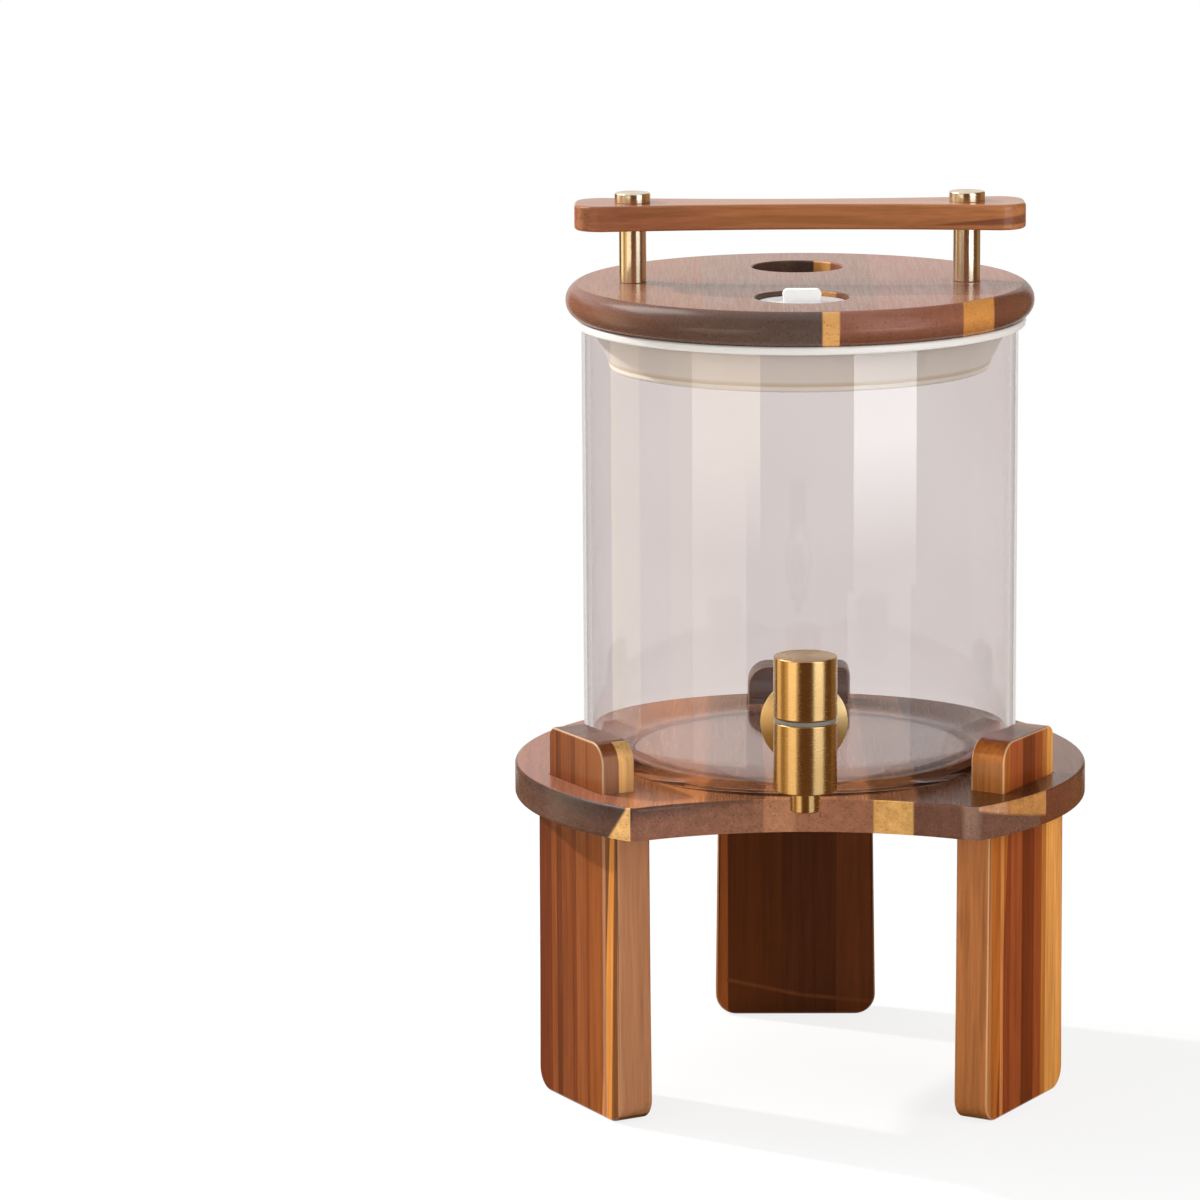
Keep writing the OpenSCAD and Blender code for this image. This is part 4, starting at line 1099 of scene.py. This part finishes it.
def screws_tree(material):
    tree, sockets, sizes = node_tree("screws_round_a_circle", SCREW_SIZES)
    head_r, head_t = sizes.outputs["Head radius"], sizes.outputs["Head height"]
    head = add(tree, "GeometryNodeMeshCylinder", {"Vertices": HEAD_SIDES, "Radius": head_r, "Depth": head_t})
    shank = add(tree, "GeometryNodeMeshCylinder", {"Vertices": SCREW_SIDES, "Radius": sizes.outputs["Shank radius"],
                                                   "Depth": sizes.outputs["Shank length"]})
    half_head = add(tree, "ShaderNodeMath", [head_t, 0.5], operation="MULTIPLY")
    half_shank = add(tree, "ShaderNodeMath", [sizes.outputs["Shank length"], 0.5], operation="MULTIPLY")
    lift = add(tree, "ShaderNodeMath", [half_head, half_shank], operation="ADD")
    lifted = add(tree, "ShaderNodeCombineXYZ", {2: lift})
    shank_up = add(tree, "GeometryNodeTransform", {"Geometry": shank, "Translation": lifted})
    drop = add(tree, "ShaderNodeMath", [head_t, RECESS_DROP], operation="MULTIPLY")
    dropped = add(tree, "ShaderNodeCombineXYZ", {2: drop})
    recessed = head.outputs[0]
    for shape in ([head_r, half_head, head_t], [half_head, head_r, head_t]):
        bar = add(tree, "GeometryNodeMeshCube", {"Size": add(tree, "ShaderNodeCombineXYZ", shape)})
        cutter = add(tree, "GeometryNodeTransform", {"Geometry": bar, "Translation": dropped})
        recessed = add(tree, "GeometryNodeMeshBoolean", [recessed, cutter], operation="DIFFERENCE").outputs[0]
    screw = add(tree, "GeometryNodeJoinGeometry")
    for part in (recessed, shank_up.outputs[0]):
        tree.links.new(part, screw.inputs[0])
    number = add(tree, "GeometryNodeInputIndex")
    step = add(tree, "ShaderNodeMath", [2 * math.pi, sizes.outputs["Count"]], operation="DIVIDE")
    angle = add(tree, "ShaderNodeMath", [number, step, sizes.outputs["First angle"]], operation="MULTIPLY_ADD")
    aim = add(tree, "ShaderNodeCombineXYZ", [add(tree, "ShaderNodeMath", [angle], operation=way)
                                             for way in ("COSINE", "SINE")])
    spot = add(tree, "ShaderNodeVectorMath", {0: aim, "Scale": sizes.outputs["Circle radius"]}, operation="SCALE")
    spots = add(tree, "GeometryNodePoints", {"Count": sizes.outputs["Count"], "Position": spot})
    copies = add(tree, "GeometryNodeInstanceOnPoints", {"Points": spots, "Instance": screw})
    real = add(tree, "GeometryNodeRealizeInstances", [copies])
    dressed = add(tree, "GeometryNodeSetMaterial", {"Geometry": real, "Material": material})
    add(tree, "NodeGroupOutput", [dressed])
    return tree, sockets


SCREW_HEAD_R = 4.5 * mm
SCREW_HEAD_T = 3 * mm
SCREW_R = 2.5 * mm
BOSS_SCREW_OUT = 30 * mm
screws = screws_tree(steel)
post_out = middle("handle_post_right").x
for name, out, count, first_angle in (("boss_screws", BOSS_SCREW_OUT, 4, math.pi / 4),
                                      ("post_screws", post_out, 2, 0.0)):
    screw_low, screw_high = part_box(name)
    grown(name + "_steel", *screws,
          {"Head radius": SCREW_HEAD_R, "Head height": SCREW_HEAD_T, "Shank radius": SCREW_R,
           "Shank length": screw_high.z - screw_low.z - SCREW_HEAD_T, "Circle radius": out, "Count": count,
           "First angle": first_angle},
          "lid", "steel", [name], moved_to(axis + up * (screw_low.z + SCREW_HEAD_T / 2)))

# %% [markdown]
# ## What lies inside
# The valve's core, its O-rings and bonnet nut, the washers on the glass and the boss under the lid are seldom seen,
# so their solids stay as they are and only take a finish.

# %% Dress the hidden pieces
boss_wood = acacia("acacia_lid_boss", axis + up * middle("lid_boss").z, FRONT_TO_BACK,
                   [(-77, "#835A43"), (-30, "#94664A"), (22, "#7B523D"), (77, "")])
for name, finish in (("bonnet_nut", tap_brass), ("valve_core", tap_brass), ("core_orings", rubber),
                     ("knob_set_screw", steel), ("outer_washer", silicone), ("inner_washer", silicone),
                     ("lid_boss", boss_wood)):
    nodes[name].data.materials.clear()
    nodes[name].data.materials.append(finish)
    print(name, "takes", finish.name)

# %% [markdown]
# ## Floor and surroundings
# The object stands on pure white. A white sweep of paper could do it, but lighting paper to pure white spills light
# over the object. Here the floor is pale and takes a shadow, and what the camera, metal and glass see of it is mixed
# most of the way to plain white, more so with distance, so that it runs into a white sky.

# %% Floor and sky
FLOOR_R = 6.0
FLOOR_STEPS = 96
FADE_FROM = 0.15
FADE_TO = 0.55
SHADOW_SHARE = 0.18


def seen_directly(tree):
    """1 for rays from the camera, off metal or through glass, and 0 for rays that light the object."""
    ray = add(tree, "ShaderNodeLightPath")
    first = add(tree, "ShaderNodeMath", [ray.outputs["Is Camera Ray"], ray.outputs["Is Glossy Ray"]],
                operation="MAXIMUM")
    return add(tree, "ShaderNodeMath", [first, ray.outputs["Is Transmission Ray"]], operation="MAXIMUM")


floor_paper, tree = new_material("pale_paper_floor")
spot = add(tree, "ShaderNodeTexCoord")
away = add(tree, "ShaderNodeVectorMath", [spot.outputs["Object"]], operation="LENGTH")
fade = add(tree, "ShaderNodeMapRange", [away.outputs["Value"], FADE_FROM, FADE_TO, 1 - SHADOW_SHARE, 1],
           interpolation_type="SMOOTHSTEP")
share = add(tree, "ShaderNodeMath", [fade, seen_directly(tree)], operation="MULTIPLY")
paper = add(tree, "ShaderNodeBsdfDiffuse", {"Color": linear("#F2F1EF")})
white = add(tree, "ShaderNodeEmission", {"Color": (1, 1, 1, 1), "Strength": 1})
mixed = add(tree, "ShaderNodeMixShader", [share, paper, white])
add(tree, "ShaderNodeOutputMaterial", {"Surface": mixed})
floor_mesh = bmesh.new()
bmesh.ops.create_circle(floor_mesh, cap_ends=True, segments=FLOOR_STEPS, radius=FLOOR_R)
floor = in_scene("floor", as_data("floor", floor_mesh, floor_paper))

FILL_LEVEL = 0.42
sky = bpy.data.worlds.new("white_sky")
bpy.context.scene.world = sky
sky.use_nodes = True
tree = sky.node_tree
tree.nodes.clear()
level = add(tree, "ShaderNodeMapRange", {0: seen_directly(tree), 3: FILL_LEVEL, 4: 1})
ground = add(tree, "ShaderNodeBackground", {"Color": (1, 1, 1, 1), "Strength": level})
add(tree, "ShaderNodeOutputWorld", {"Surface": ground})
print("floor", 2 * FLOOR_R, "m across, sky fill", FILL_LEVEL)

# %% [markdown]
# ## Lights
# Two tall softboxes stand in front, to the right and the left. A third hangs high on the left, a little behind, and a
# small hard lamp beside it gives that side crisp light and shade. Lamps could show in the brass and the glass too, but
# they would be plain bright squares, so only the high softbox is reflected, and cards take the others' place below.

# %% Lights
AIM = axis + up * 0.2
# Each lamp's angle, its distance, the height of its lower edge, its width and height, all in metres, and its radiance
LAMPS = {"right_softbox": (50, 0.95, 0.003, 0.74, 1.2, 2.3), "left_softbox": (-40, 0.95, 0.03, 0.5, 1.2, 1.15),
         "top_softbox": (-110, 0.8, 0.85, 0.6, 0.6, 6), "hard_lamp": (-118, 1.5, 1.03, 0.06, 0.06, 2900)}
AIMED = ("top_softbox", "hard_lamp")


def softbox(name, around, away, low, wide, tall, radiance):
    """A light that stands at an angle round the jar, where 0 is towards the camera and rightwards is positive."""
    a = math.radians(around)
    light = bpy.data.lights.new(name, "AREA")
    light.shape = "RECTANGLE"
    light.size, light.size_y = wide, tall
    light.energy = radiance * math.pi * wide * tall
    lamp = in_scene(name, light)
    lamp.location = axis + Vector((math.sin(a) * away, -math.cos(a) * away, low + tall / 2))
    lamp.rotation_euler = Euler((math.pi / 2, 0, a))
    print(name, "at", around, "degrees, radiance", radiance)
    return lamp


for name, sizes in LAMPS.items():
    lamp = softbox(name, *sizes)
    if name in AIMED:
        lamp.rotation_euler = (AIM - lamp.location).to_track_quat("-Z", "Y").to_euler()
    lamp.visible_camera = lamp.visible_transmission = False
    lamp.visible_glossy = name == "top_softbox"

# %% [markdown]
# ## Reflection cards
# Metal and glass show their shape by what they reflect, and an all-white room would leave them flat. So photographers
# stand cards round the object: dark ones, called flags, and bright ones. The stripes on the brass and the white strip
# down the glass are reflections of these cards, and the bright ones glow most at the height of the jar. Behind, a pale
# card keeps the glass clear, and a brown disc on the table is what the undersides see. Real cards would shade the
# object too, but these are seen only in reflections and cast no shadow.

# %% Cards
FLAG_R = 0.6
FLAG_STEPS = 16
TABLE_R = 0.6
TABLE_HOLE_R = 1 * mm
TABLE_STEPS = 64
TABLE_LIFT = 1 * mm
TABLE_CODE = "#80603A"
GLOW_RISE = (0.14, 0.2)
GLOW_FALL = (0.235, 0.255)
EVEN = (1, 1, 1)
KEY_GLOW = (0.95, 6.5, 1.8)
LOW, HIGH, TALL, SHORT = (0, 0.125), (0.125, 1.3), (0, 1.3), (0, 0.45)
# Each card's first and last angle, its colour, how strongly it glows low down, at the jar and above it, and the
# heights of its two edges
FLAGS = [
    (-27, 22, "#62402A", EVEN, LOW), (-20, 25, "#62402A", EVEN, HIGH), (22, 55, "#FFFFFF", KEY_GLOW, LOW),
    (25, 58, "#FFFFFF", KEY_GLOW, HIGH), (55, 94, "#67472A", EVEN, LOW), (58, 94, "#67472A", EVEN, HIGH),
    (94, 140, "#8A7050", (1.25,) * 3, TALL), (140, 150, "#67472A", EVEN, TALL), (150, 210, "#ECE5E0", EVEN, TALL),
    (-55, -27, "#FFEBD0", (1.8, 4.2, 0.6), TALL), (-27, -20, "#FFEBD0", (0.07, 4.2, 0.6), HIGH),
    (-68, -55, "#D0B080", (1.5,) * 3, SHORT), (-88, -68, "#A9845A", (1.3,) * 3, SHORT),
    (-112, -88, "#E8D2A8", (1.8,) * 3, SHORT), (-150, -112, "#67472A", EVEN, SHORT)]


def reflected_only(name, rows, code, glow=EVEN):
    """A card between two rows of points that only reflections see."""
    card = bmesh.new()
    low, high = [[card.verts.new(point) for point in row] for row in rows]
    for i in range(len(low) - 1):
        card.faces.new([low[i], low[i + 1], high[i + 1], high[i]])
    felt, tree = new_material("felt_" + name)
    spot = add(tree, "ShaderNodeTexCoord")
    height = add(tree, "ShaderNodeSeparateXYZ", [spot.outputs["Object"]]).outputs[2]
    rise = add(tree, "ShaderNodeMapRange", [height, *GLOW_RISE, glow[0], glow[1]])
    fall = add(tree, "ShaderNodeMapRange", [height, *GLOW_FALL, 0, glow[2] - glow[1]])
    level = add(tree, "ShaderNodeMath", [rise, fall], operation="ADD")
    tone = add(tree, "ShaderNodeEmission", {"Color": linear(code), "Strength": level})
    add(tree, "ShaderNodeOutputMaterial", [tone])
    flag = in_scene(name, as_data(name, card, felt))
    for kind in ("camera", "diffuse", "transmission", "volume_scatter", "shadow"):
        setattr(flag, "visible_" + kind, False)


def round_row(radius, start, stop, height, steps):
    turns = [math.radians(start + (stop - start) * i / steps) for i in range(steps + 1)]
    return [axis + Vector((math.sin(a) * radius, -math.cos(a) * radius, height)) for a in turns]


for number, (start, stop, code, glow, heights) in enumerate(FLAGS):
    rows = [round_row(FLAG_R, start, stop, height, FLAG_STEPS) for height in heights]
    reflected_only("flag_" + str(number), rows, code, glow)
rows = [round_row(radius, 0, 360, TABLE_LIFT, TABLE_STEPS) for radius in (TABLE_HOLE_R, TABLE_R)]
reflected_only("table_card", rows, TABLE_CODE)
print(len(FLAGS), "flags at", FLAG_R, "m and a table card", TABLE_R, "m round")

# %% [markdown]
# ## Finish
# Colours have to come out as they were written, so the view transform is the plain one. What was made here has to
# fill the same space as the frame.

# %% View
bpy.context.scene.view_settings.view_transform = "Standard"
